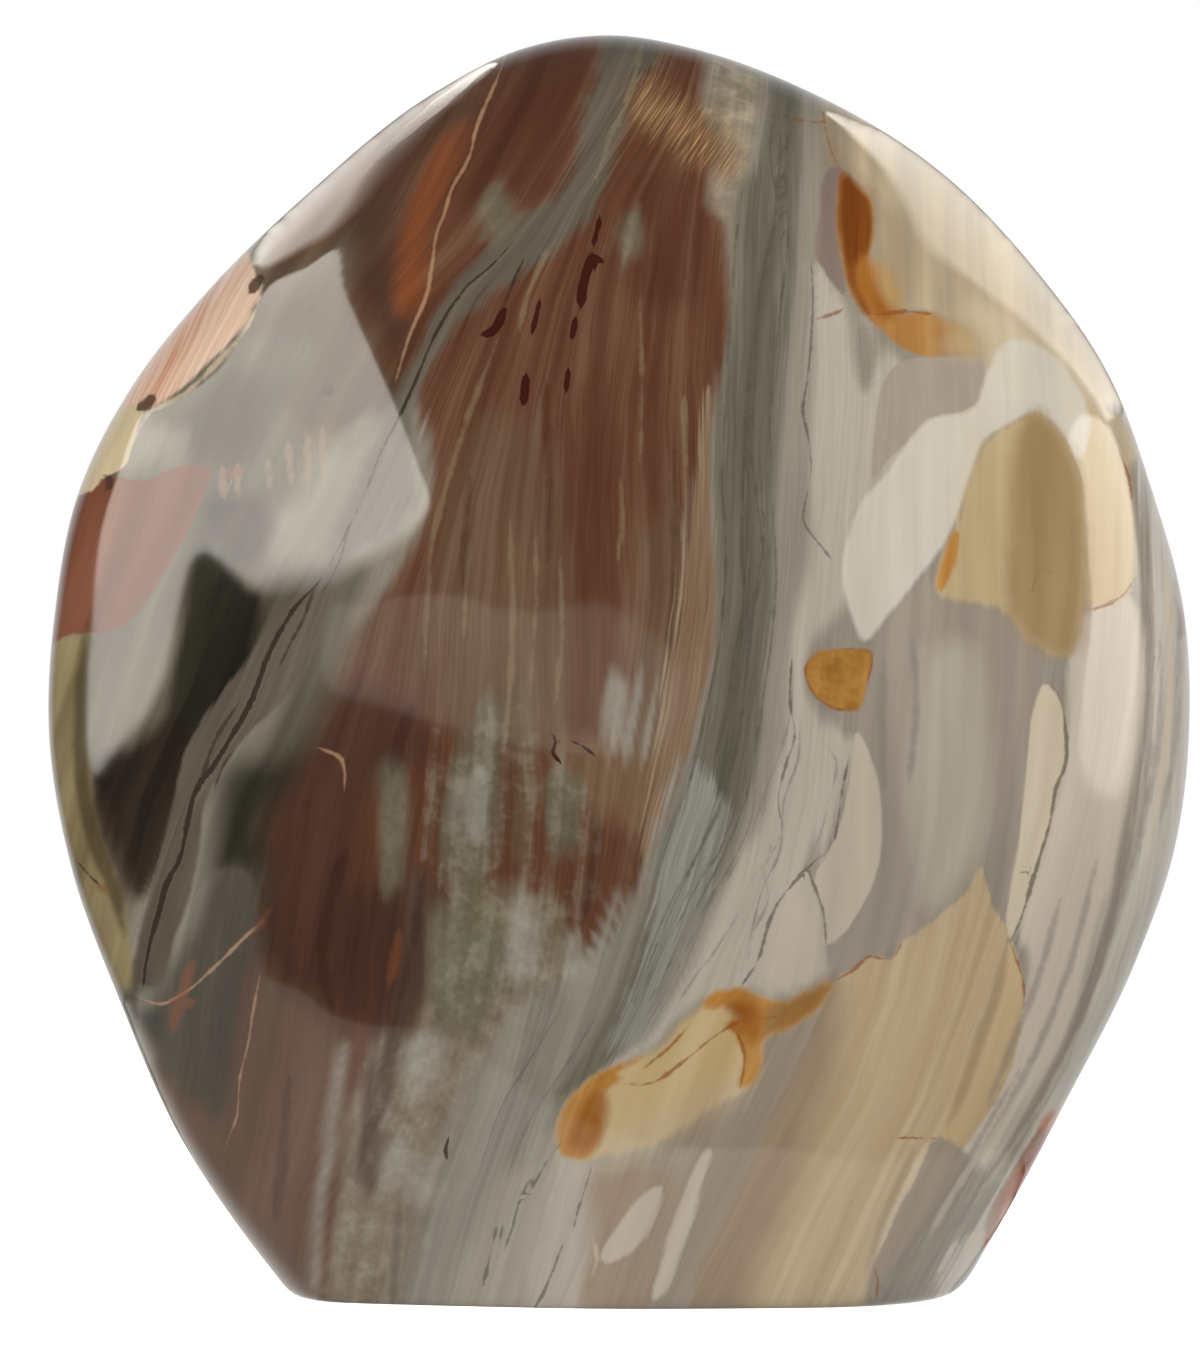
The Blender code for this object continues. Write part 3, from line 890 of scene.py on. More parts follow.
             (764, 1034), (764, 1014)],
        ],
    },
    "ochre lens": {
        "paint": "honey", "crisp": True, "soft": 0.45, "ragged": 0.25, "through": False,
        "shapes": [
            [(843, 170), (856, 184), (870, 199), (875, 220), (873, 244), (864, 264), (872, 276),
             (880, 296), (890, 314), (925, 312), (950, 320), (968, 332), (974, 352), (950, 356),
             (925, 356), (900, 347), (874, 324), (856, 303), (846, 280), (838, 236), (837, 200),
             (839, 180)],
        ],
    },
    "lens glow": {
        "paint": "honeySoft", "crisp": True, "soft": 1.3, "ragged": 0.4, "strength": 0.85, "through": False,
        "shapes": [
            [(868, 262), (882, 264), (896, 278), (902, 298), (898, 316), (884, 312), (872, 290)],
        ],
    },
    "lens end": {
        "paint": "sand", "crisp": True, "soft": 1.8, "ragged": 0.4, "strength": 0.8, "through": False,
        "shapes": [
            [(938, 314), (960, 320), (984, 336), (986, 356), (950, 360), (940, 346), (946, 330)],
        ],
    },
    "ochre blob": {
        "paint": "mustard", "crisp": True, "soft": 0.3, "ragged": 0.2, "through": False,
        "shapes": [
            [(820, 650), (841, 649), (870, 649), (872, 659), (868, 682), (858, 711), (837, 709),
             (816, 697), (806, 678), (808, 661)],
        ],
    },
    "ochre core": {
        "paint": "amber", "crisp": True, "soft": 0.5, "ragged": 0.3, "through": False,
        "shapes": [
            [(843, 170), (856, 184), (867, 199), (873, 220), (871, 244), (863, 262), (858, 272),
             (862, 290), (872, 312), (864, 314), (849, 282), (841, 240), (839, 205)],
        ],
    },
    "ochre middle": {
        "paint": "amberLight", "crisp": True, "soft": 1.0, "ragged": 0.4, "through": False,
        "shapes": [
            [(856, 262), (868, 258), (876, 280), (884, 300), (896, 314), (884, 322), (868, 308),
             (856, 286)],
        ],
    },
    "ochre edge": {
        "paint": "saffron", "crisp": True, "soft": 0.35, "ragged": 0.3, "through": False,
        "shapes": [
            [(938, 576), (945, 556), (953, 532), (960, 536), (955, 560), (946, 584), (938, 590)],
        ],
    },
}

# Veins, cracks, streaks and pits, and two lines of painted shade (rim shade and tan shadow): each has its points in
# the picture and its width in millimetres.
lines = {
    "fibre": {
        "colour": "4c493d", "soft": 0.2, "ragged": 0.25, "strength": 0.55,
        "runs": [
            (0.28, [(778, 95), (770, 150), (776, 210), (760, 290), (756, 370), (752, 450), (758, 510), (764, 560),
                    (754, 610), (746, 680), (738, 740), (722, 800), (700, 850), (676, 900), (655, 950),
                    (635, 1000)]),
            (0.22, [(744, 180), (736, 240), (730, 320), (726, 400), (722, 480), (726, 560), (720, 640), (706, 710),
                    (690, 780), (672, 830), (655, 880)]),
            (0.3, [(760, 300), (748, 380), (744, 460), (742, 540), (744, 600), (734, 660), (722, 730), (708, 780)]),
            (0.22, [(790, 100), (786, 180), (788, 240), (778, 330), (770, 420), (772, 500), (776, 580),
                    (770, 650), (760, 720), (748, 790), (726, 850), (700, 900), (672, 960), (650, 1000)]),
        ],
    },
    "pearl thread": {
        "colour": "77746c", "soft": 0.22, "ragged": 0.25, "strength": 0.55,
        "runs": [
            (0.22, [(790, 640), (792, 700), (784, 740), (766, 790), (752, 830), (732, 870), (706, 910), (686, 950),
                    (668, 990), (650, 1020)]),
            (0.22, [(764, 800), (770, 850), (752, 880), (740, 910), (716, 950), (696, 975), (680, 1000)]),
            (0.2, [(820, 740), (836, 760), (830, 800), (818, 840), (806, 866)]),
            (0.2, [(760, 860), (768, 900), (754, 930), (748, 960)]),
            (0.3, [(730, 800), (716, 850), (690, 890), (670, 930), (650, 970), (625, 1030), (600, 1070)]),
        ],
    },
    "rim shade": {
        "colour": "4a3f2a", "soft": 1.0, "ragged": 0.3, "strength": 0.8,
        "runs": [
            (2.6, [(84, 640), (82, 700), (82, 780), (94, 840), (112, 884), (124, 934)]),
        ],
    },
    "dark knot": {
        "colour": "4a3325", "soft": 0.35, "ragged": 0.2, "strength": 0.9,
        "runs": [
            (1.7, [(262, 276), (256, 284), (250, 292)]),
            (1.8, [(154, 396), (147, 404), (138, 410)]),
            (1.0, [(106, 476), (112, 482), (106, 490)]),
            (1.5, [(322, 391), (328, 391), (334, 391)]),
        ],
    },
    "pink fleck": {
        "colour": "b08f76", "soft": 0.5, "ragged": 0.6, "strength": 0.35,
        "runs": [
            (0.9, [(222, 466), (222, 480), (224, 496)]),
            (0.8, [(238, 464), (238, 482), (238, 500)]),
            (0.8, [(268, 462), (268, 476), (270, 488)]),
            (0.8, [(288, 446), (290, 466), (290, 484)]),
            (0.9, [(306, 430), (308, 456), (308, 490)]),
            (0.8, [(322, 428), (323, 450), (324, 480)]),
        ],
    },
    "umber vein": {
        "colour": "33291f", "soft": 0.12, "ragged": 0.2, "strength": 0.9,
        "runs": [
            (0.3, [(513, 242), (492, 265), (467, 286), (448, 312), (431, 343), (418, 375), (403, 409), (383, 448),
                   (364, 495), (340, 545), (322, 578)]),
            (0.75, [(330, 565), (317, 584), (294, 609), (270, 651), (252, 699), (231, 737), (212, 768), (205, 776),
                    (193, 797), (182, 851), (174, 870), (166, 885), (159, 912), (149, 947), (143, 989)]),
            (0.3, [(524, 259), (514, 280), (509, 293), (503, 308)]),
            (0.3, [(78, 862), (88, 874), (98, 884)]),
        ],
    },
    "umber strand": {
        "colour": "43342b", "soft": 0.15, "ragged": 0.2, "strength": 0.8,
        "runs": [
            (0.45, [(314, 588), (303, 620), (292, 640), (276, 674)]),
            (0.5, [(238, 704), (226, 722), (214, 742), (204, 772), (200, 784)]),
            (0.3, [(350, 520), (340, 560), (324, 590)]),
            (0.3, [(236, 748), (224, 764), (214, 790)]),
        ],
    },
    "grey thread": {
        "colour": "5d554e", "soft": 0.15, "ragged": 0.25, "strength": 0.75,
        "runs": [
            (0.22, [(811, 264), (813, 300), (811, 346), (807, 381), (803, 412), (809, 440), (811, 470), (806, 500),
                    (803, 520), (812, 535), (824, 550), (842, 573)]),
            (0.28, [(768, 400), (760, 440), (762, 500), (764, 540), (756, 590), (748, 640), (744, 700)]),
            (0.25, [(778, 95), (780, 150), (776, 203), (766, 285)]),
            (0.22, [(793, 640), (790, 700), (795, 736), (786, 764), (778, 800), (782, 830), (768, 860), (752, 885)]),
            (0.22, [(849, 759), (842, 790), (834, 840), (814, 862), (800, 876), (780, 900), (768, 925), (758, 960),
                    (742, 985)]),
            (0.25, [(808, 869), (816, 890), (824, 915), (826, 945)]),
            (0.2, [(738, 800), (720, 850), (700, 880), (680, 920), (664, 950)]),
            (0.35, [(529, 1180), (518, 1205), (512, 1228), (502, 1256)]),
            (0.25, [(563, 1140), (545, 1165), (529, 1195)]),
            (0.3, [(497, 1225), (490, 1255), (483, 1285)]),
            (0.3, [(566, 1236), (556, 1262), (545, 1290), (535, 1308)]),
            (0.2, [(592, 1163), (586, 1186), (578, 1210), (572, 1236)]),
        ],
    },
    "lens vein": {
        "colour": "57503f", "soft": 0.16, "ragged": 0.25, "strength": 0.75,
        "runs": [
            (0.4, [(1051, 684), (1061, 700), (1065, 723), (1066, 762), (1056, 788), (1050, 823),
                   (1035, 872), (1021, 919), (1009, 945)]),
            (0.3, [(1024, 872), (1030, 872)]),
        ],
    },
    "pink vein": {
        "colour": "b08a6c", "soft": 0.18, "ragged": 0.15, "strength": 0.75,
        "runs": [
            (0.38, [(508, 50), (495, 84), (478, 123), (469, 158), (452, 188), (444, 215), (436, 236), (428, 290),
                    (416, 320), (408, 340), (395, 383)]),
            (0.45, [(264, 920), (243, 939), (218, 964), (206, 975), (193, 987), (182, 994), (168, 1002),
                    (158, 1004), (150, 1002), (136, 996)]),
            (0.28, [(260, 975), (252, 1017), (249, 1040), (240, 1078), (237, 1116), (231, 1131), (224, 1153)]),
            (0.35, [(319, 748), (332, 753), (342, 760), (345, 775), (344, 790)]),
        ],
    },
    "dark pit": {
        "colour": "3a0f08", "soft": 0.1, "ragged": 0.2, "strength": 0.95,
        "runs": [
            (0.8, [(600, 216), (597, 232), (593, 247)]),
            (1.5, [(592, 252), (590, 262), (586, 274), (582, 290), (581, 308)]),
            (0.9, [(588, 255), (596, 258), (603, 262)]),
            (0.75, [(576, 316), (574, 328), (572, 340)]),
            (0.6, [(572, 356), (572, 360)]),
            (0.75, [(569, 368), (567, 380), (566, 392)]),
            (1.2, [(527, 374), (525, 388), (523, 406)]),
            (0.6, [(540, 298), (536, 316), (532, 334)]),
            (1.3, [(505, 306), (500, 320), (492, 332), (481, 335)]),
            (0.6, [(449, 1136), (446, 1148), (447, 1160)]),
            (0.45, [(549, 731), (556, 740), (552, 752), (560, 762)]),
            (0.3, [(568, 740), (582, 746), (597, 757)]),
        ],
    },
    "rust line": {
        "colour": "8a4f22", "soft": 0.18, "ragged": 0.25, "strength": 0.75,
        "runs": [
            (0.3, [(816, 319), (830, 315), (843, 310)]),
            (0.3, [(792, 119), (808, 121), (823, 123)]),
            (0.3, [(823, 113), (827, 135), (833, 156), (843, 172)]),
            (0.35, [(868, 314), (885, 314), (904, 311), (930, 314)]),
            (0.25, [(843, 178), (841, 210), (845, 250), (854, 290), (868, 314), (888, 336)]),
            (0.3, [(1033, 590), (1036, 578), (1041, 568), (1053, 573)]),
            (0.25, [(1088, 611), (1111, 603), (1126, 592), (1135, 578)]),
            (0.25, [(896, 1138), (908, 1138), (935, 1138)]),
            (0.3, [(624, 1084), (641, 1085), (659, 1080), (676, 1067), (693, 1054), (711, 1039), (724, 1030),
                   (740, 1022), (765, 1018), (793, 1014)]),
            (0.22, [(635, 1076), (654, 1060), (672, 1045), (690, 1024)]),
            (0.35, [(735, 1030), (745, 1055), (740, 1088)]),
            (0.2, [(834, 981), (855, 969), (869, 956), (891, 960), (901, 944)]),
            (0.3, [(1119, 452), (1128, 475), (1132, 500)]),
            (0.25, [(1010, 942), (1024, 985), (1022, 1020)]),
            (0.3, [(872, 1262), (878, 1280), (876, 1298)]),
            (0.3, [(818, 652), (808, 662), (806, 678), (816, 697), (836, 709), (858, 711)]),
            (0.25, [(868, 682), (872, 660), (868, 650), (841, 649)]),
        ],
    },
    "pale streak": {
        "colour": "8f8164", "soft": 0.35, "ragged": 0.4, "strength": 0.42,
        "runs": [
            (0.7, [(498, 339), (482, 379), (465, 427), (450, 474), (440, 510), (430, 560), (427, 620),
                   (424, 680)]),
            (0.5, [(470, 540), (466, 580), (464, 640)]),
            (0.7, [(510, 520), (512, 600), (510, 680), (504, 750)]),
            (0.5, [(535, 520), (536, 600), (530, 700)]),
            (0.7, [(546, 250), (530, 290), (520, 330)]),
            (0.6, [(649, 20), (629, 95), (610, 138), (596, 180)]),
            (0.6, [(684, 400), (685, 480), (683, 560)]),
            (0.4, [(620, 480), (622, 520), (618, 560)]),
            (0.6, [(560, 560), (562, 640), (556, 700)]),
            (0.5, [(640, 300), (642, 380), (640, 460)]),
            (0.6, [(386, 1220), (384, 1250), (380, 1280)]),
        ],
    },
    "dark streak": {
        "colour": "2f140c", "soft": 0.7, "ragged": 0.6, "strength": 0.4,
        "runs": [
            (2.2, [(415, 700), (400, 740), (392, 775)]),
            (2.0, [(345, 850), (330, 900), (322, 960), (332, 1010)]),
            (1.0, [(425, 872), (415, 930), (402, 990), (392, 1030), (380, 1078)]),
            (1.0, [(470, 480), (466, 540), (462, 600)]),
            (1.2, [(545, 380), (548, 440), (550, 500), (548, 560)]),
            (1.8, [(600, 820), (592, 870), (584, 920)]),
            (0.8, [(674, 440), (675, 520), (673, 600), (668, 660)]),
            (1.2, [(372, 1060), (366, 1120), (358, 1180)]),
            (1.2, [(400, 1200), (396, 1250), (392, 1310)]),
            (1.6, [(290, 1080), (284, 1140), (276, 1220)]),
        ],
    },
    "mauve stripe": {
        "colour": "837975", "soft": 0.5, "ragged": 0.4, "strength": 0.55,
        "runs": [
            (1.2, [(1141, 430), (1146, 520), (1150, 620), (1148, 740), (1138, 823), (1116, 904), (1091, 986),
                   (1060, 1070), (1010, 1150), (960, 1220), (915, 1290)]),
            (0.8, [(1020, 1070), (985, 1130), (950, 1190), (912, 1244), (880, 1290)]),
            (1.0, [(1060, 900), (1040, 970), (1018, 1030), (990, 1100)]),
            (1.2, [(884, 660), (882, 720), (884, 790)]),
            (0.9, [(912, 640), (916, 700), (910, 780)]),
            (0.8, [(1096, 860), (1080, 930), (1054, 1010), (1020, 1090)]),
        ],
    },
    "cream streak": {
        "colour": "cdbda4", "soft": 0.35, "ragged": 0.3, "strength": 0.75,
        "runs": [
            (0.5, [(262, 286), (256, 308), (240, 336), (214, 366), (184, 394), (150, 412), (134, 440), (126, 470)]),
            (1.1, [(927, 1142), (912, 1176), (896, 1207), (876, 1250), (866, 1280)]),
            (0.5, [(594, 1240), (597, 1262), (590, 1280)]),
            (0.6, [(1166, 560), (1170, 660), (1164, 760), (1146, 860)]),
            (0.7, [(1105, 1040), (1060, 1110), (1010, 1180)]),
            (0.9, [(977, 1234), (972, 1246), (966, 1258)]),
        ],
    },
    "tan shadow": {
        "colour": "8b745b", "soft": 0.8, "ragged": 0.1, "strength": 0.55,
        "runs": [
            (1.5, [(1006, 950), (996, 996), (980, 1040), (964, 1086), (948, 1124)]),
            (0.9, [(914, 1150), (896, 1190), (880, 1230), (866, 1280)]),
        ],
    },
    "grey strand": {
        "colour": "8a8277", "soft": 0.5, "ragged": 0.4, "strength": 0.5,
        "runs": [
            (1.1, [(1030, 1060), (1006, 1110), (976, 1160), (940, 1216), (904, 1270), (880, 1300)]),
            (0.8, [(1090, 1000), (1060, 1060), (1020, 1130), (980, 1190), (940, 1250)]),
            (0.7, [(1160, 640), (1160, 720), (1148, 800), (1126, 890), (1100, 970)]),
            (0.8, [(1174, 560), (1180, 640), (1176, 740), (1160, 820)]),
        ],
    },
    "pale strand": {
        "colour": "c3baa9", "soft": 0.4, "ragged": 0.3, "strength": 0.5,
        "runs": [
            (0.9, [(1050, 1040), (1020, 1096), (990, 1140), (956, 1190), (920, 1250)]),
            (0.6, [(1110, 960), (1080, 1030), (1044, 1100), (1004, 1160), (970, 1210)]),
        ],
    },
    "wavy strand": {
        "colour": "57564e", "soft": 0.2, "ragged": 0.15, "strength": 0.5,
        "runs": [
            (0.24, [(800, 720), (798, 760), (784, 800), (780, 850), (762, 890), (752, 930), (742, 970)]),
            (0.25, [(712, 820), (694, 860), (672, 900), (650, 950), (632, 1000)]),
            (0.25, [(756, 790), (748, 830), (728, 870), (706, 905), (690, 940), (676, 975)]),
            (0.25, [(700, 740), (686, 790), (664, 840), (650, 890)]),
            (0.25, [(560, 1010), (530, 1060), (500, 1110), (480, 1170)]),
            (0.25, [(600, 1010), (566, 1066), (530, 1120), (506, 1180)]),
        ],
    },
    "rust spot": {
        "colour": "7d4a2c", "soft": 0.6, "ragged": 0.5, "strength": 0.6,
        "runs": [
            (1.8, [(193, 960), (184, 990), (176, 1012), (174, 1030)]),
            (1.4, [(170, 1000), (182, 1006), (196, 1000)]),
            (0.9, [(270, 908), (262, 922), (254, 932)]),
            (1.5, [(398, 930), (395, 960), (390, 985)]),
            (2.2, [(1048, 1124), (1020, 1168), (1000, 1205), (986, 1240)]),
            (0.5, [(1181, 606), (1183, 622), (1181, 640)]),
            (1.1, [(98, 884), (105, 890), (112, 892)]),
            (0.8, [(218, 476), (232, 474), (246, 470)]),
        ],
    },
}

# Jasper is chalcedony packed with clay and iron oxide, so each colour has several shades drawn out along the
# grain. "streak", "thread", "cloud" and "satin" are the textures that pick the shade.
paints = {
    "darkBrick": ("streak", "43251a", "532f20", "66432f"),
    "honeySoft": ("satin", "a57c44", "b08a55", "bc9a6c"),
    "shoulderCream": ("satin", "baab92", "c6b69b", "d2c3aa"),
    "tanWash": ("streak", "6f5640", "7d654c", "8c755c"),
    "beige": ("streak", "8d7866", "9b8773", "a99684"),
    "warmPearl": ("streak", "918a7d", "a0998c", "ada699"),
    "doveDark": ("satin", "8f8169", "9d8e74", "ab9c81"),
    "umberGlass": ("satin", "7f5c34", "8c683c", "9a784e"),
    "fadedHoney": ("satin", "b3a085", "bdab90", "c8b9a0"),
    "plumRose": ("cloud", "65513f", "75645a", "857768"),
    "mustard": ("cloud", "8f6426", "a9793a", "b98f4a"),
    "brickRose": ("streak", "5c3d30", "6a4939", "7a5a49"),
    "olivePatch": ("cloud", "5c5038", "6c5f46", "7c7056"),
    "blueStone": ("streak", "78736a", "8a857a", "9b968b"),
    "greenGrey": ("cloud", "5f5c4b", "6f6b5a", "817c6b"),
    "whitish": ("cloud", "8b867a", "9a968a", "a8a498"),
    "umberStreak": ("streak", "4b352a", "5a4438", "6b5547"),
    "umberCheek": ("satin", "493c2f", "5a4c3d", "6b5d4d"),
    "salmonRed": ("thread", "a4512f", "bf6444", "d08b6c"),
    "brick": ("streak", "502e1c", "633f2c", "775d48"),
    "tanBrick": ("streak", "5a4230", "67503b", "78644e"),
    "deepBrick": ("streak", "412a1f", "513429", "5f4234"),
    "umberBrick": ("streak", "422d20", "4a3326", "574033"),
    "plumBrick": ("streak", "57402f", "65493a", "735849"),
    "mottled": ("cloud", "6f6150", "847766", "97907e"),
    "ash": ("streak", "68614f", "777161", "858070"),
    "mist": ("satin", "807a6d", "8f897d", "9f998e"),
    "sage": ("satin", "4f483b", "645d4e", "797263"),
    "moor": ("satin", "3a3629", "464234", "545041"),
    "moorDark": ("satin", "25231a", "322f23", "423f31"),
    "fern": ("streak", "322f26", "443f34", "5b564b"),
    "olive": ("satin", "1c1a12", "27241a", "383425"),
    "sepia": ("satin", "1d1610", "291f17", "3a2f25"),
    "veinBed": ("streak", "544a40", "665b50", "786d61"),
    "rust": ("satin", "673a27", "754632", "855540"),
    "salmon": ("thread", "b87450", "d8b69f", "e6d2be"),
    "cream": ("satin", "b8a888", "c7b694", "d8cbb0"),
    "celadon": ("satin", "706345", "857656", "9a8e68"),
    "orange": ("thread", "673c20", "7b4426", "8b5431"),
    "straw": ("scored", "644332", "7f5f42", "bd9c6c"),
    "gravel": ("cloud", "736b5b", "908573", "ada18c"),
    "hay": ("thread", "745540", "87715a", "a3957c"),
    "fibrous": ("thread", "5a5648", "6c685b", "868174"),
    "moss": ("thread", "4c4a3f", "59574b", "706d60"),
    "greyBeige": ("thread", "847d72", "918a7e", "a19a8e"),
    "pearl": ("thread", "a9a195", "b4aca0", "c0b8ac"),
    "mauve": ("satin", "7c6d65", "89796f", "968880"),
    "dove": ("satin", "9a8e78", "b1a186", "c4b292"),
    "mauveStreak": ("streak", "9a9085", "a3988d", "ada397"),
    "chalk": ("satin", "c3bdb2", "cfc9bd", "d8d2c7"),
    "butter": ("satin", "b8a47e", "c2ad88", "ccb996"),
    "blush": ("streak", "b8ada0", "c1b6a9", "cbc0b3"),
    # lighter than the stone's grey, as painted light on the right rim
    "stoneGreyPaintedLight": ("thread", "aaa498", "bdb7ad", "ccc6be"),
    "dusk": ("satin", "8d8379", "988e83", "a59b8f"),
    "sand": ("satin", "ae9976", "b9a580", "c3b08e"),
    "khaki": ("satin", "917b56", "9d8560", "a68f6b"),
    "shell": ("satin", "afa597", "baafa0", "c4baab"),
    "creamLens": ("satin", "bfb29d", "c7baa4", "cfc3ae"),
    "tan": ("streak", "ab9676", "b7a384", "c2b192"),
    "taupe": ("streak", "8b7762", "96826b", "a18e76"),
    "fennel": ("satin", "ab9775", "b8a27e", "c3af8c"),
    "slate": ("streak", "8b8071", "978b7d", "a4988a"),
    "butterGlass": ("satin", "b8a070", "c4ad82", "d0bd9c"),
    "honey": ("satin", "9a6a34", "aa7a42", "b98d56"),
    "saffron": ("satin", "a0682a", "b47f3e", "c59a5a"),
    "amberLight": ("satin", "85480f", "985c1f", "ab7130"),
    "amber": ("thread", "653310", "743d12", "864c1c"),
    "branch": ("streak", "545046", "625e53", "716d61"),
    "lichen": ("satin", "4d493b", "5f5a4c", "736d5f"),
    "blueGrey": ("thread", "6f6d63", "8a8880", "a4a298"),
    "duskLight": ("satin", "a59c8f", "b0a799", "bab1a3"),
}

# Sizes of the textures in millimetres, across and along the grain; the real threads are near 0.1 mm and are
# drawn a few times coarser so that they show.
grain = {
    "fine": {"across": 0.4, "along": 18.0, "detail": 1.0},
    "mid": {"across": 1.5, "along": 30.0, "detail": 2.0},
    "broad": {"across": 4.5, "along": 45.0, "detail": 1.0},
    "blotch": {"size": 3.2, "detail": 3.0},
    "grit": {"size": 0.8, "detail": 1.0},
    "hair": {"across": 0.17, "along": 7.0, "detail": 1.0},
    "scratch": {"across": 0.16, "along": 6.0, "lean": -34, "detail": 1.0},
}

# What each kind of texture is mixed from.
textureMixes = {
    "streak": {"broad": 0.4, "mid": 0.35, "fine": 0.15, "hair": 0.1},
    "thread": {"broad": 0.2, "mid": 0.35, "fine": 0.3, "hair": 0.15},
    "cloud": {"blotch": 0.55, "mid": 0.35, "grit": 0.1},
    "satin": {"broad": 0.7, "mid": 0.3},
    "scored": {"scratch": 0.85, "mid": 0.15},
    "edge": {"mid": 0.45, "blotch": 0.35, "fine": 0.2},
}

groundTextures = ("streak", "thread", "cloud", "satin")

# How the grain wavers from side to side: swing and length in millimetres, and how the wave shifts across.
grainWaves = [(0.06, 9.0, 1.1), (0.2, 37.0, 0.4), (0.5, 90.0, 0.15)]

polish = {"ior": 1.54, "roughness": 0.045, "groundShade": "greyBeige"}


def linearColour(code):
    channels = [int(code[i:i + 2], 16) / 255 for i in (0, 2, 4)]
    return (*[c / 12.92 if c <= 0.04045 else ((c + 0.055) / 1.055) ** 2.4 for c in channels], 1.0)


def addNode(tree, kind, inputs=None, **settings):
    node = tree.nodes.new(kind)
    for name, value in settings.items():
        setattr(node, name, value)
    for name, value in (inputs or {}).items():
        if isinstance(value, bpy.types.NodeSocket):
            tree.links.new(value, node.inputs[name])
        else:
            node.inputs[name].default_value = value
    return node


def storeField(mesh, name, values):
    field = mesh.attributes.new(name, "FLOAT", "POINT")
    field.data.foreach_set("value", np.asarray(values, np.float32))


def storeColour(mesh, name, values):
    field = mesh.attributes.new(name, "FLOAT_COLOR", "POINT")
    field.data.foreach_set("color", np.ascontiguousarray(values, np.float32).ravel())


def storeFields(mesh, fields):
    # four fields to a colour attribute, which the renderer reads faster than four single ones
    names = list(fields)
    for start in range(0, len(names), 4):
        values = np.zeros((len(mesh.vertices), 4))
        for channel, name in enumerate(names[start:start + 4]):
            values[:, channel] = fields[name]
        storeColour(mesh, "fields %d" % (start // 4), values)


def fieldSockets(tree, names):
    sockets = {}
    for start in range(0, len(names), 4):
        pack = addNode(tree, "ShaderNodeAttribute", attribute_name="fields %d" % (start // 4))
        split = addNode(tree, "ShaderNodeSeparateColor", {"Color": pack.outputs["Color"]})
        sockets.update(zip(names[start:start + 4], [*split.outputs, pack.outputs["Alpha"]]))
    return sockets


def unevenness(across, along, size, seed):
    # smooth chance values from 0 to 1, drawn out along the grain
    table = np.random.default_rng(seed).random((64, 64))
    x, y = across / size[0], along / size[1]
    column, row = np.floor(x).astype(int), np.floor(y).astype(int)
    u, v = smoothStep(x - column, 0, 1), smoothStep(y - row, 0, 1)
    upper = table[column % 64, row % 64] * (1 - u) + table[(column + 1) % 64, row % 64] * u
    lower = table[column % 64, (row + 1) % 64] * (1 - u) + table[(column + 1) % 64, (row + 1) % 64] * u
    return upper * (1 - v) + lower * v


def storeMarkings(mesh, points):
    place, behind = onPicture(points)
    across, along = grainPlace(place)
    grainField = mesh.attributes.new("grain place", "FLOAT_VECTOR", "POINT")
    depth = behind * stone["backDepth"]
    grainField.data.foreach_set("vector", np.column_stack([across, along, depth]).astype(np.float32).ravel())
    faceOnly = fieldReach * 2 * smoothStep(behind, 0.25, 0.6)
    pull = unevenness(across, along, (1.3, 26), 5) + unevenness(across, along, (0.8, 11), 8) - 1
    shades = np.tile(paintShades(polish["groundShade"]), (len(points), 1))
    fields = {}
    for name, area in areas.items():
        field = np.maximum.reduce([areaField(place, shape) for shape in area["shapes"]])
        field = np.minimum(field, area.get("most", fieldReach))
        if not area["through"]:
            field = field - faceOnly
        if area["crisp"]:
            fields[name] = field
        else:
            mask = smoothStep(field + 1.6 * area["ragged"] * pull, -area["soft"], area["soft"])
            mask *= area.get("strength", 1.0)
            shades += mask[:, None] * (paintShades(area["paint"]) - shades)
    for start, name in enumerate(("shade dark", "shade middle", "shade light", "texture shares")):
        storeColour(mesh, name, shades[:, 4 * start:4 * start + 4])
    for name, group in lines.items():
        fields[name + " side"], half = lineField(place, group["runs"])
        fields[name + " half"] = half - faceOnly
    storeFields(mesh, fields)
    return list(fields)


def paintShades(paint):
    # the three shades of a paint and the share of each texture in it, in one row
    texture, *codes = paints[paint]
    row = [channel for code in codes for channel in linearColour(code)]
    return np.array(row + [float(texture == name) for name in groundTextures])


def grainTextures(tree):
    # noise drawn out along the grain, or in round blotches, each spread to run from 0 to 1
    where = addNode(tree, "ShaderNodeAttribute", attribute_name="grain place")
    solid = addNode(tree, "ShaderNodeTexCoord")
    textures = {}
    for name, size in grain.items():
        if "size" in size:
            start = solid.outputs["Object"]
            scale = [1000 / size["size"]] * 3
        elif "lean" in size:
            leaning = addNode(tree, "ShaderNodeVectorRotate",
                              {"Vector": solid.outputs["Object"], "Angle": math.radians(size["lean"])},
                              rotation_type="Y_AXIS")
            start = leaning.outputs[0]
            scale = (1000 / size["across"], 100, 1000 / size["along"])
        else:
            start = where.outputs["Vector"]
            scale = (1 / size["across"], 1 / size["along"], 0.12)
        scaled = addNode(tree, "ShaderNodeVectorMath", {0: start, 1: scale}, operation="MULTIPLY")
        noise = addNode(tree, "ShaderNodeTexNoise",
                        {"Vector": scaled.outputs[0], "Scale": 1.0, "Detail": size["detail"], "Roughness": 0.55})
        spread = addNode(tree, "ShaderNodeMapRange", {"Value": noise.outputs[0], "From Min": 0.3, "From Max": 0.7})
        textures[name] = spread.outputs[0]
    for name, shares in textureMixes.items():
        total = 0.0
        for texture, share in shares.items():
            step = addNode(tree, "ShaderNodeMath", {0: textures[texture], 1: share, 2: total},
                           operation="MULTIPLY_ADD")
            total = step.outputs[0]
        spread = addNode(tree, "ShaderNodeMapRange", {"Value": total, "From Min": 0.1, "From Max": 0.9})
        textures[name] = spread.outputs[0]
    return textures


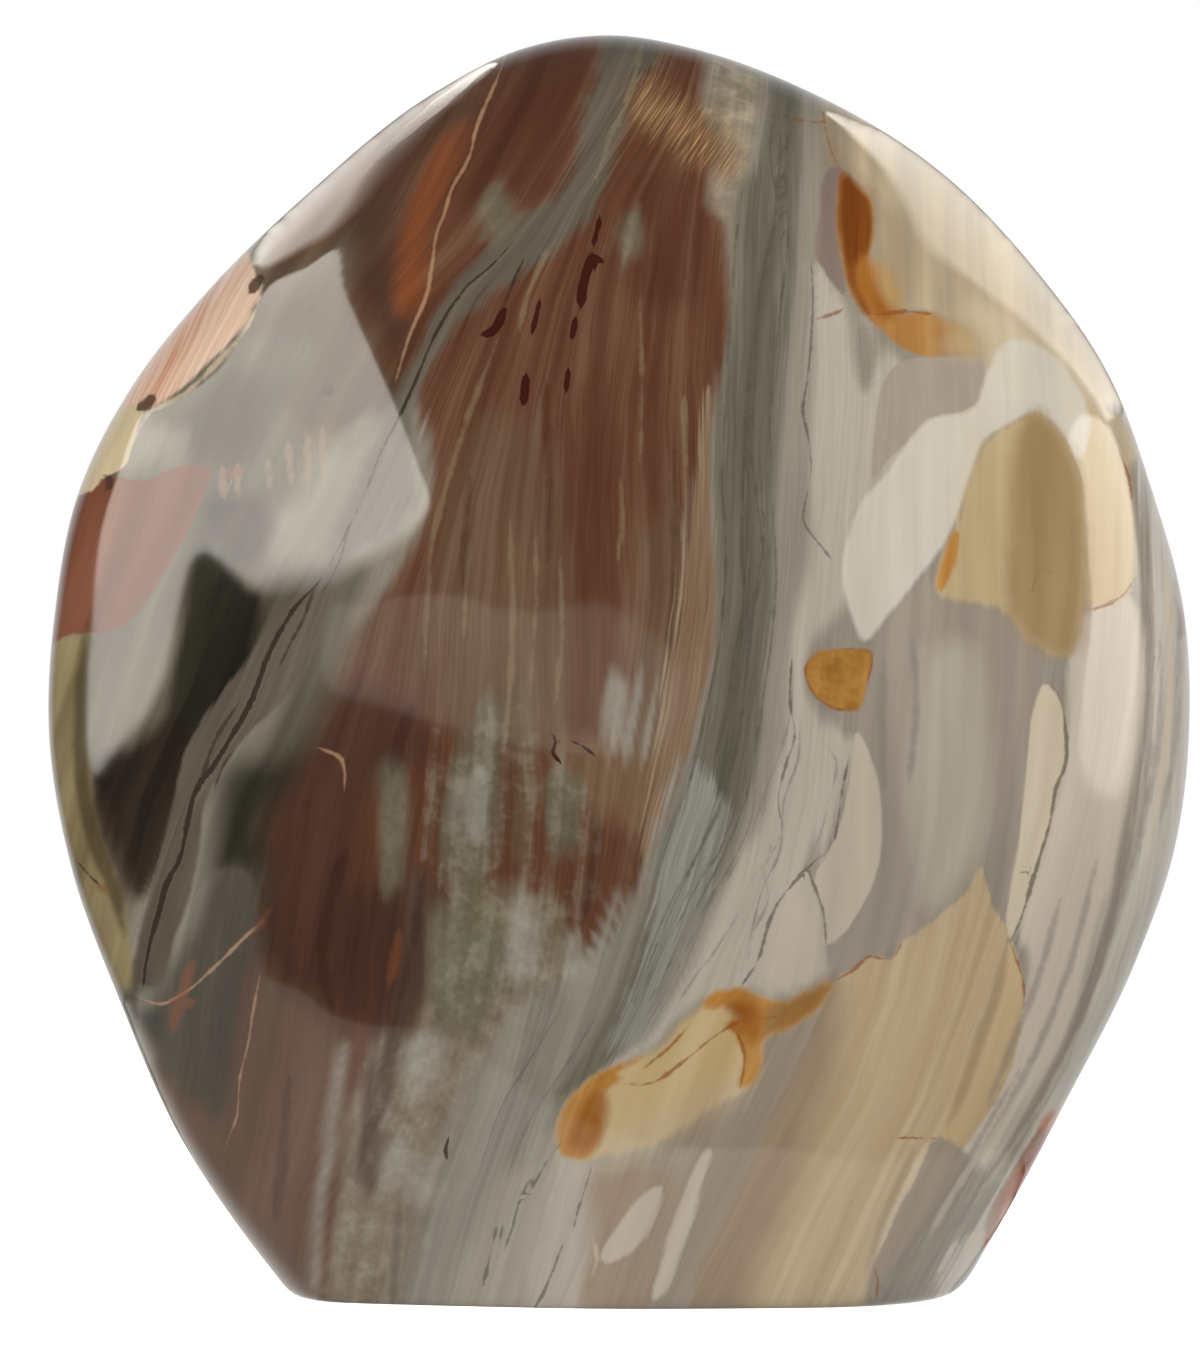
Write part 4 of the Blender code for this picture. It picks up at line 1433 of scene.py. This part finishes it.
def paintColour(tree, textures, paint):
    texture, *codes = paints[paint]
    ramp = addNode(tree, "ShaderNodeValToRGB", {"Fac": textures[texture]})
    points = ramp.color_ramp.elements
    points.new(0.5)
    for point, position, code in zip(points, (0.0, 0.5, 1.0), codes):
        point.position = position
        point.color = linearColour(code)
    return ramp.outputs["Color"]


def groundColour(tree, textures):
    # the soft-edged areas' shades come with the mesh, and so does each texture's share in picking the shade
    shades = [addNode(tree, "ShaderNodeAttribute", attribute_name="shade " + name).outputs["Color"]
              for name in ("dark", "middle", "light")]
    shares = addNode(tree, "ShaderNodeAttribute", attribute_name="texture shares")
    split = addNode(tree, "ShaderNodeSeparateColor", {"Color": shares.outputs["Color"]})
    sockets = [*split.outputs, shares.outputs["Alpha"]]
    signal = 0.0
    for share, name in zip(sockets, groundTextures):
        step = addNode(tree, "ShaderNodeMath", {0: share, 1: textures[name], 2: signal}, operation="MULTIPLY_ADD")
        signal = step.outputs[0]
    lower = addNode(tree, "ShaderNodeMapRange", {"Value": signal, "From Max": 0.5})
    upper = addNode(tree, "ShaderNodeMapRange", {"Value": signal, "From Min": 0.5})
    darker = layOver(tree, lower.outputs[0], shades[0], shades[1])
    return layOver(tree, upper.outputs[0], darker, shades[2])


def lineMask(tree, textures, fields, name, soft, ragged, strength):
    # 1 on a line and 0 beside it; the grain makes it thicker and thinner
    distance = addNode(tree, "ShaderNodeMath", {0: fields[name + " side"]}, operation="ABSOLUTE")
    inside = addNode(tree, "ShaderNodeMath", {0: fields[name + " half"], 1: distance.outputs[0]},
                     operation="SUBTRACT")
    pulled = addNode(tree, "ShaderNodeMath",
                     {0: textures["cloud"], 1: 2 * ragged, 2: inside.outputs[0]}, operation="MULTIPLY_ADD")
    mask = addNode(tree, "ShaderNodeMapRange",
                   {"Value": pulled.outputs[0], "From Min": ragged - soft, "From Max": ragged + soft,
                    "To Max": strength}, interpolation_type="SMOOTHSTEP")
    return mask.outputs[0]


def edgeMask(tree, texture, field, soft, ragged, strength):
    # 0 outside a marking and 1 inside, with the texture pulling its edge about
    pulled = addNode(tree, "ShaderNodeMath", {0: texture, 1: 2 * ragged, 2: field}, operation="MULTIPLY_ADD")
    mask = addNode(tree, "ShaderNodeMapRange",
                   {"Value": pulled.outputs[0], "From Min": ragged - soft, "From Max": ragged + soft,
                    "To Max": strength}, interpolation_type="SMOOTHSTEP")
    return mask.outputs[0]


def layOver(tree, mask, under, over):
    mix = addNode(tree, "ShaderNodeMix", {0: mask, 6: under, 7: over}, data_type="RGBA")
    return mix.outputs[2]


def polishedJasper(fieldNames):
    material = bpy.data.materials.new("polishedJasper")
    material.use_nodes = True
    tree = material.node_tree
    tree.nodes.clear()
    textures = grainTextures(tree)
    fields = fieldSockets(tree, fieldNames)
    colour = groundColour(tree, textures)
    for name, area in areas.items():
        if not area["crisp"]:
            continue
        mask = edgeMask(tree, textures[area.get("pull", "edge")], fields[name], area["soft"], area["ragged"],
                        area.get("strength", 1.0))
        colour = layOver(tree, mask, colour, paintColour(tree, textures, area["paint"]))
    for name, group in lines.items():
        mask = lineMask(tree, textures, fields, name, group["soft"], group["ragged"], group["strength"])
        colour = layOver(tree, mask, colour, linearColour(group["colour"]))
    shader = addNode(tree, "ShaderNodeBsdfPrincipled",
                     {"Base Color": colour, "Roughness": polish["roughness"], "IOR": polish["ior"]})
    addNode(tree, "ShaderNodeOutputMaterial", {"Surface": shader.outputs[0]})
    return material


def makeStone():
    mesh, points = stoneMesh()
    print("jasper: stone form,", len(points), "points")
    fieldNames = storeMarkings(mesh, points)
    print("jasper: markings")
    piece = bpy.data.objects.new("jasperFreeform", mesh)
    bpy.context.scene.collection.objects.link(piece)
    mesh.materials.append(polishedJasper(fieldNames))
    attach(piece, "root")
    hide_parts("jasper_freeform")
    normals = np.empty(len(points) * 3, np.float32)
    mesh.vertex_normals.foreach_get("vector", normals)
    normals = normals.reshape(-1, 3)
    towards = np.array(cameraPlace()) - points
    facesCamera = np.sum(normals * towards, axis=1) > 0
    place, behind = onPicture(points)
    return points[facesCamera], normals[facesCamera], place[facesCamera]


# The studio: directions in degrees left of the way the face looks and above the floor, sizes in metres.
# The lamps light the stone but aren't mirrored in it. What it mirrors are white cards, each cut so that its
# image in the stone has the outline given in pixels of the picture: x, y and how soft the edge is there.
studio = {
    "lamps": {
        "lampLeft": {"left": 56, "up": 16, "away": 0.7, "size": (0.46, 0.64), "radiance": 4.3},
        "lampRight": {"left": -58, "up": 16, "away": 0.7, "size": (0.46, 0.64), "radiance": 4.5},
    },
    "cards": {
        "cardLeft": {
            "left": 50, "up": 3, "away": 0.7, "radiance": 5.5,
            "image": [
                (338, 250, 2), (346, 292, 2), (366, 340, 2), (395, 406, 2), (418, 466, 3), (430, 502, 5),
                (416, 526, 12), (394, 544, 18), (356, 564, 24), (326, 576, 28), (290, 582, 28), (260, 586, 20),
                (236, 572, 10), (206, 552, 4), (190, 564, 4), (177, 614, 6), (166, 670, 8), (150, 708, 10),
                (126, 738, 10), (108, 758, 8), (96, 775, 6), (88, 745, 3), (88, 680, 3), (92, 630, 3),
                (100, 540, 3), (119, 474, 3), (133, 433, 3), (146, 411, 3), (178, 400, 3), (218, 370, 3),
                (246, 328, 3), (270, 286, 3), (306, 268, 3),
            ],
        },
        "cardBackLeft": {
            "left": 136, "up": 42, "away": 0.7, "radiance": 3.9,
            "image": [
                (497, 64, 3), (456, 95, 16), (418, 131, 24), (378, 174, 26), (340, 222, 14), (302, 248, 8),
                (262, 268, 8), (258, 252, 12), (314, 200, 20), (377, 147, 22), (441, 98, 18), (476, 72, 8),
            ],
        },
        "cardBackRight": {
            "left": -132, "up": 38, "away": 0.7, "radiance": 3.2,
            "image": [
                (826, 112, 2), (858, 142, 6), (886, 172, 8), (904, 202, 12), (922, 236, 16), (942, 258, 12),
                (964, 274, 8), (989, 294, 8), (1021, 318, 8), (1046, 343, 8), (1070, 367, 8), (1095, 400, 8),
                (1106, 420, 8), (1112, 404, 20), (1090, 362, 34), (1022, 270, 40), (930, 178, 36), (873, 136, 16),
            ],
        },
        "cardRight": {
            "left": -88, "up": 10, "away": 0.7, "radiance": 3.0,
            "image": [
                (1106, 424, 6), (1124, 470, 4), (1136, 540, 4), (1140, 600, 4), (1137, 690, 6), (1124, 780, 16),
                (1104, 796, 20), (1082, 766, 12), (1084, 690, 5), (1092, 610, 3), (1087, 540, 3), (1082, 480, 3),
                (1068, 440, 4), (1080, 416, 6),
            ],
        },
        "cardFront": {
            "left": 14, "up": -6, "away": 0.7, "radiance": 0.88,
            "image": [
                (333, 604, 8), (360, 607, 3), (401, 597, 3), (432, 595, 3), (466, 596, 3), (488, 606, 3),
                (514, 611, 3), (562, 609, 3), (592, 602, 4), (622, 612, 6), (660, 640, 14), (690, 690, 20),
                (660, 748, 20), (600, 754, 10), (560, 752, 4), (521, 746, 3), (488, 734, 3), (436, 723, 3),
                (384, 707, 3), (354, 699, 3), (328, 688, 8), (322, 645, 12),
            ],
        },
        "cardTable": {
            "left": 0, "up": -90, "away": 0.0755, "radiance": 0.8,
            "image": [
                (136, 1004, 8), (176, 950, 24), (206, 876, 6), (250, 873, 4), (262, 930, 24), (266, 976, 6),
                (289, 985, 3), (312, 998, 3), (327, 1012, 3), (371, 1025, 3), (410, 1029, 3), (470, 1050, 10),
                (560, 1110, 16), (669, 1146, 4), (784, 1149, 4), (880, 1160, 14), (1000, 1150, 24),
                (1010, 1200, 6), (950, 1290, 3), (930, 1308, 2), (620, 1308, 2), (306, 1308, 2), (246, 1240, 2),
                (186, 1146, 2), (126, 1006, 3),
            ],
        },
    },
    "aim": (0.0, 0.0, 0.075),
    "daylight": "fffaf2",
    "floorShade": "ffffff",
    "floorGlow": 0.8,
    "floorSize": 1.6,
    "roomDark": 0.1,
    "wallGlow": 0.7,
    "wallEdge": 0.7,
    "skyFill": 0.3,
    "backdrop": 1.0,
}


def facing(left, up):
    turn, tilt = math.radians(left), math.radians(up)
    return Vector((-math.sin(turn) * math.cos(tilt), -math.cos(turn) * math.cos(tilt), math.sin(tilt)))


def cameraPlace():
    tilt = picture["elevation"]
    return Vector(picture["aim"]) + Vector((0, -math.cos(tilt), math.sin(tilt))) * picture["distance"]


def addLamp(name, lamp):
    width, height = lamp["size"]
    light = bpy.data.lights.new(name, "AREA")
    light.shape = "RECTANGLE"
    light.size = width
    light.size_y = height
    light.energy = lamp["radiance"] * math.pi * width * height
    light.color = linearColour(studio["daylight"])[:3]
    item = bpy.data.objects.new(name, light)
    bpy.context.scene.collection.objects.link(item)
    direction = facing(lamp["left"], lamp["up"])
    item.location = Vector(studio["aim"]) + direction * lamp["away"]
    item.rotation_euler = direction.to_track_quat("Z", "Y").to_euler()
    item.visible_camera = False
    item.visible_glossy = False


def glowing(name, radiance, **fade):
    material = bpy.data.materials.new(name)
    material.use_nodes = True
    tree = material.node_tree
    tree.nodes.clear()
    strength = radiance
    if fade:
        share = addNode(tree, "ShaderNodeAttribute", attribute_name=fade["attribute"])
        product = addNode(tree, "ShaderNodeMath", {0: share.outputs["Fac"], 1: radiance}, operation="MULTIPLY")
        strength = product.outputs[0]
    glow = addNode(tree, "ShaderNodeEmission", {"Strength": strength, "Color": linearColour(studio["daylight"])})
    addNode(tree, "ShaderNodeOutputMaterial", {"Surface": glow.outputs[0]})
    return material


def addSheet(name, corners, faces, material):
    mesh = bpy.data.meshes.new(name)
    mesh.from_pydata(corners, [], faces)
    mesh.materials.append(material)
    item = bpy.data.objects.new(name, mesh)
    bpy.context.scene.collection.objects.link(item)
    return item


def onlyMirrored(item):
    item.visible_camera = False
    item.visible_diffuse = False
    item.visible_shadow = False
    item.visible_transmission = False


def imageLoops(image):
    # the image's outline moved outwards and inwards by half the softness of its edge
    curve = smoothCurve(image, True)[:-1]
    run = np.roll(curve, -1, axis=0)[:, :2] - np.roll(curve, 1, axis=0)[:, :2]
    run /= np.linalg.norm(run, axis=1, keepdims=True)
    x, y = curve[:, 0], curve[:, 1]
    turning = np.sign(np.sum(x * np.roll(y, -1) - y * np.roll(x, -1)))
    outwards = np.column_stack([run[:, 1], -run[:, 0]]) * turning
    half = np.maximum(curve[:, 2:3], 0.5) / 2
    return curve[:, :2] + outwards * half, curve[:, :2] - outwards * half


def mirroredOnto(targets, surface, card):
    # follows the camera's sight by way of the stone to the card's plane, for points of the picture
    points, normals, place = surface
    camera = np.array(cameraPlace())
    direction = np.array(facing(card["left"], card["up"]))
    middle = np.array(studio["aim"]) + direction * card["away"]
    landed = []
    for target in targets:
        gap = np.sum((place - target) ** 2, axis=1)
        near = np.argpartition(gap, 6)[:6]
        weight = 1 / (gap[near] + 2.0)
        point = (points[near] * weight[:, None]).sum(0) / weight.sum()
        normal = (normals[near] * weight[:, None]).sum(0)
        normal /= np.linalg.norm(normal)
        sight = point - camera
        sight /= np.linalg.norm(sight)
        bounced = sight - 2 * sight.dot(normal) * normal
        reach = (middle - point).dot(direction) / max(bounced.dot(direction), 0.2)
        landed.append(point + bounced * reach)
    return landed


def addCard(name, card, surface):
    outer, inner = imageLoops(card["image"])
    corners = mirroredOnto(outer, surface, card) + mirroredOnto(inner, surface, card)
    count = len(outer)
    faces = [(i, (i + 1) % count, count + (i + 1) % count, count + i) for i in range(count)]
    faces.append(tuple(range(count, 2 * count)))
    item = addSheet(name, corners, faces, glowing(name, card["radiance"], attribute="glow"))
    storeField(item.data, "glow", [0.0] * count + [1.0] * count)
    onlyMirrored(item)


def addStage(surface):
    for name, lamp in studio["lamps"].items():
        addLamp(name, lamp)
    for name, card in studio["cards"].items():
        addCard(name, card, surface)
    half = studio["floorSize"] / 2
    square = [(-half, -half, 0), (half, -half, 0), (half, half, 0), (-half, half, 0)]
    paper = bpy.data.materials.new("paperFloor")
    paper.use_nodes = True
    shader = paper.node_tree.nodes["Principled BSDF"]
    shader.inputs["Base Color"].default_value = linearColour(studio["floorShade"])
    shader.inputs["Roughness"].default_value = 0.9
    shader.inputs["Specular IOR Level"].default_value = 0.0
    shader.inputs["Emission Color"].default_value = linearColour(studio["floorShade"])
    shader.inputs["Emission Strength"].default_value = studio["floorGlow"]
    floor = addSheet("floor", square, [(0, 1, 2, 3)], paper)
    floor.visible_glossy = False
    floor.visible_diffuse = False


def addWorld():
    # white to the camera; the stone mirrors a dim room with a pale wall behind it; a little fill all round
    world = bpy.data.worlds.new("studio")
    bpy.context.scene.world = world
    world.use_nodes = True
    tree = world.node_tree
    tree.nodes.clear()
    path = addNode(tree, "ShaderNodeLightPath")
    direction = addNode(tree, "ShaderNodeTexCoord")
    away = addNode(tree, "ShaderNodeSeparateXYZ", {0: direction.outputs["Generated"]})
    wall = addNode(tree, "ShaderNodeMapRange",
                   {"Value": away.outputs["Y"], "From Min": studio["wallEdge"], "From Max": 1.0,
                    "To Min": studio["roomDark"], "To Max": studio["wallGlow"]})
    seen = addNode(tree, "ShaderNodeMix", {0: path.outputs["Is Glossy Ray"], 2: studio["skyFill"],
                                           3: wall.outputs[0]})
    whole = addNode(tree, "ShaderNodeMix", {0: path.outputs["Is Camera Ray"], 2: seen.outputs[0],
                                            3: studio["backdrop"]})
    sky = addNode(tree, "ShaderNodeBackground", {"Strength": whole.outputs[0], "Color": (1.0, 1.0, 1.0, 1.0)})
    addNode(tree, "ShaderNodeOutputWorld", {"Surface": sky.outputs[0]})


def addCamera():
    lens = bpy.data.cameras.new("camera")
    lens.sensor_width = 36.0
    lens.lens = lens.sensor_width * picture["distance"] / (picture["height"] * picture["pixel"])
    item = bpy.data.objects.new("camera", lens)
    bpy.context.scene.collection.objects.link(item)
    item.location = cameraPlace()
    item.rotation_euler = (cameraPlace() - Vector(picture["aim"])).to_track_quat("Z", "Y").to_euler()
    bpy.context.scene.camera = item


surface = makeStone()
addStage(surface)
addWorld()
addCamera()
bpy.context.scene.view_settings.view_transform = "Standard"
print("jasper: studio and camera")
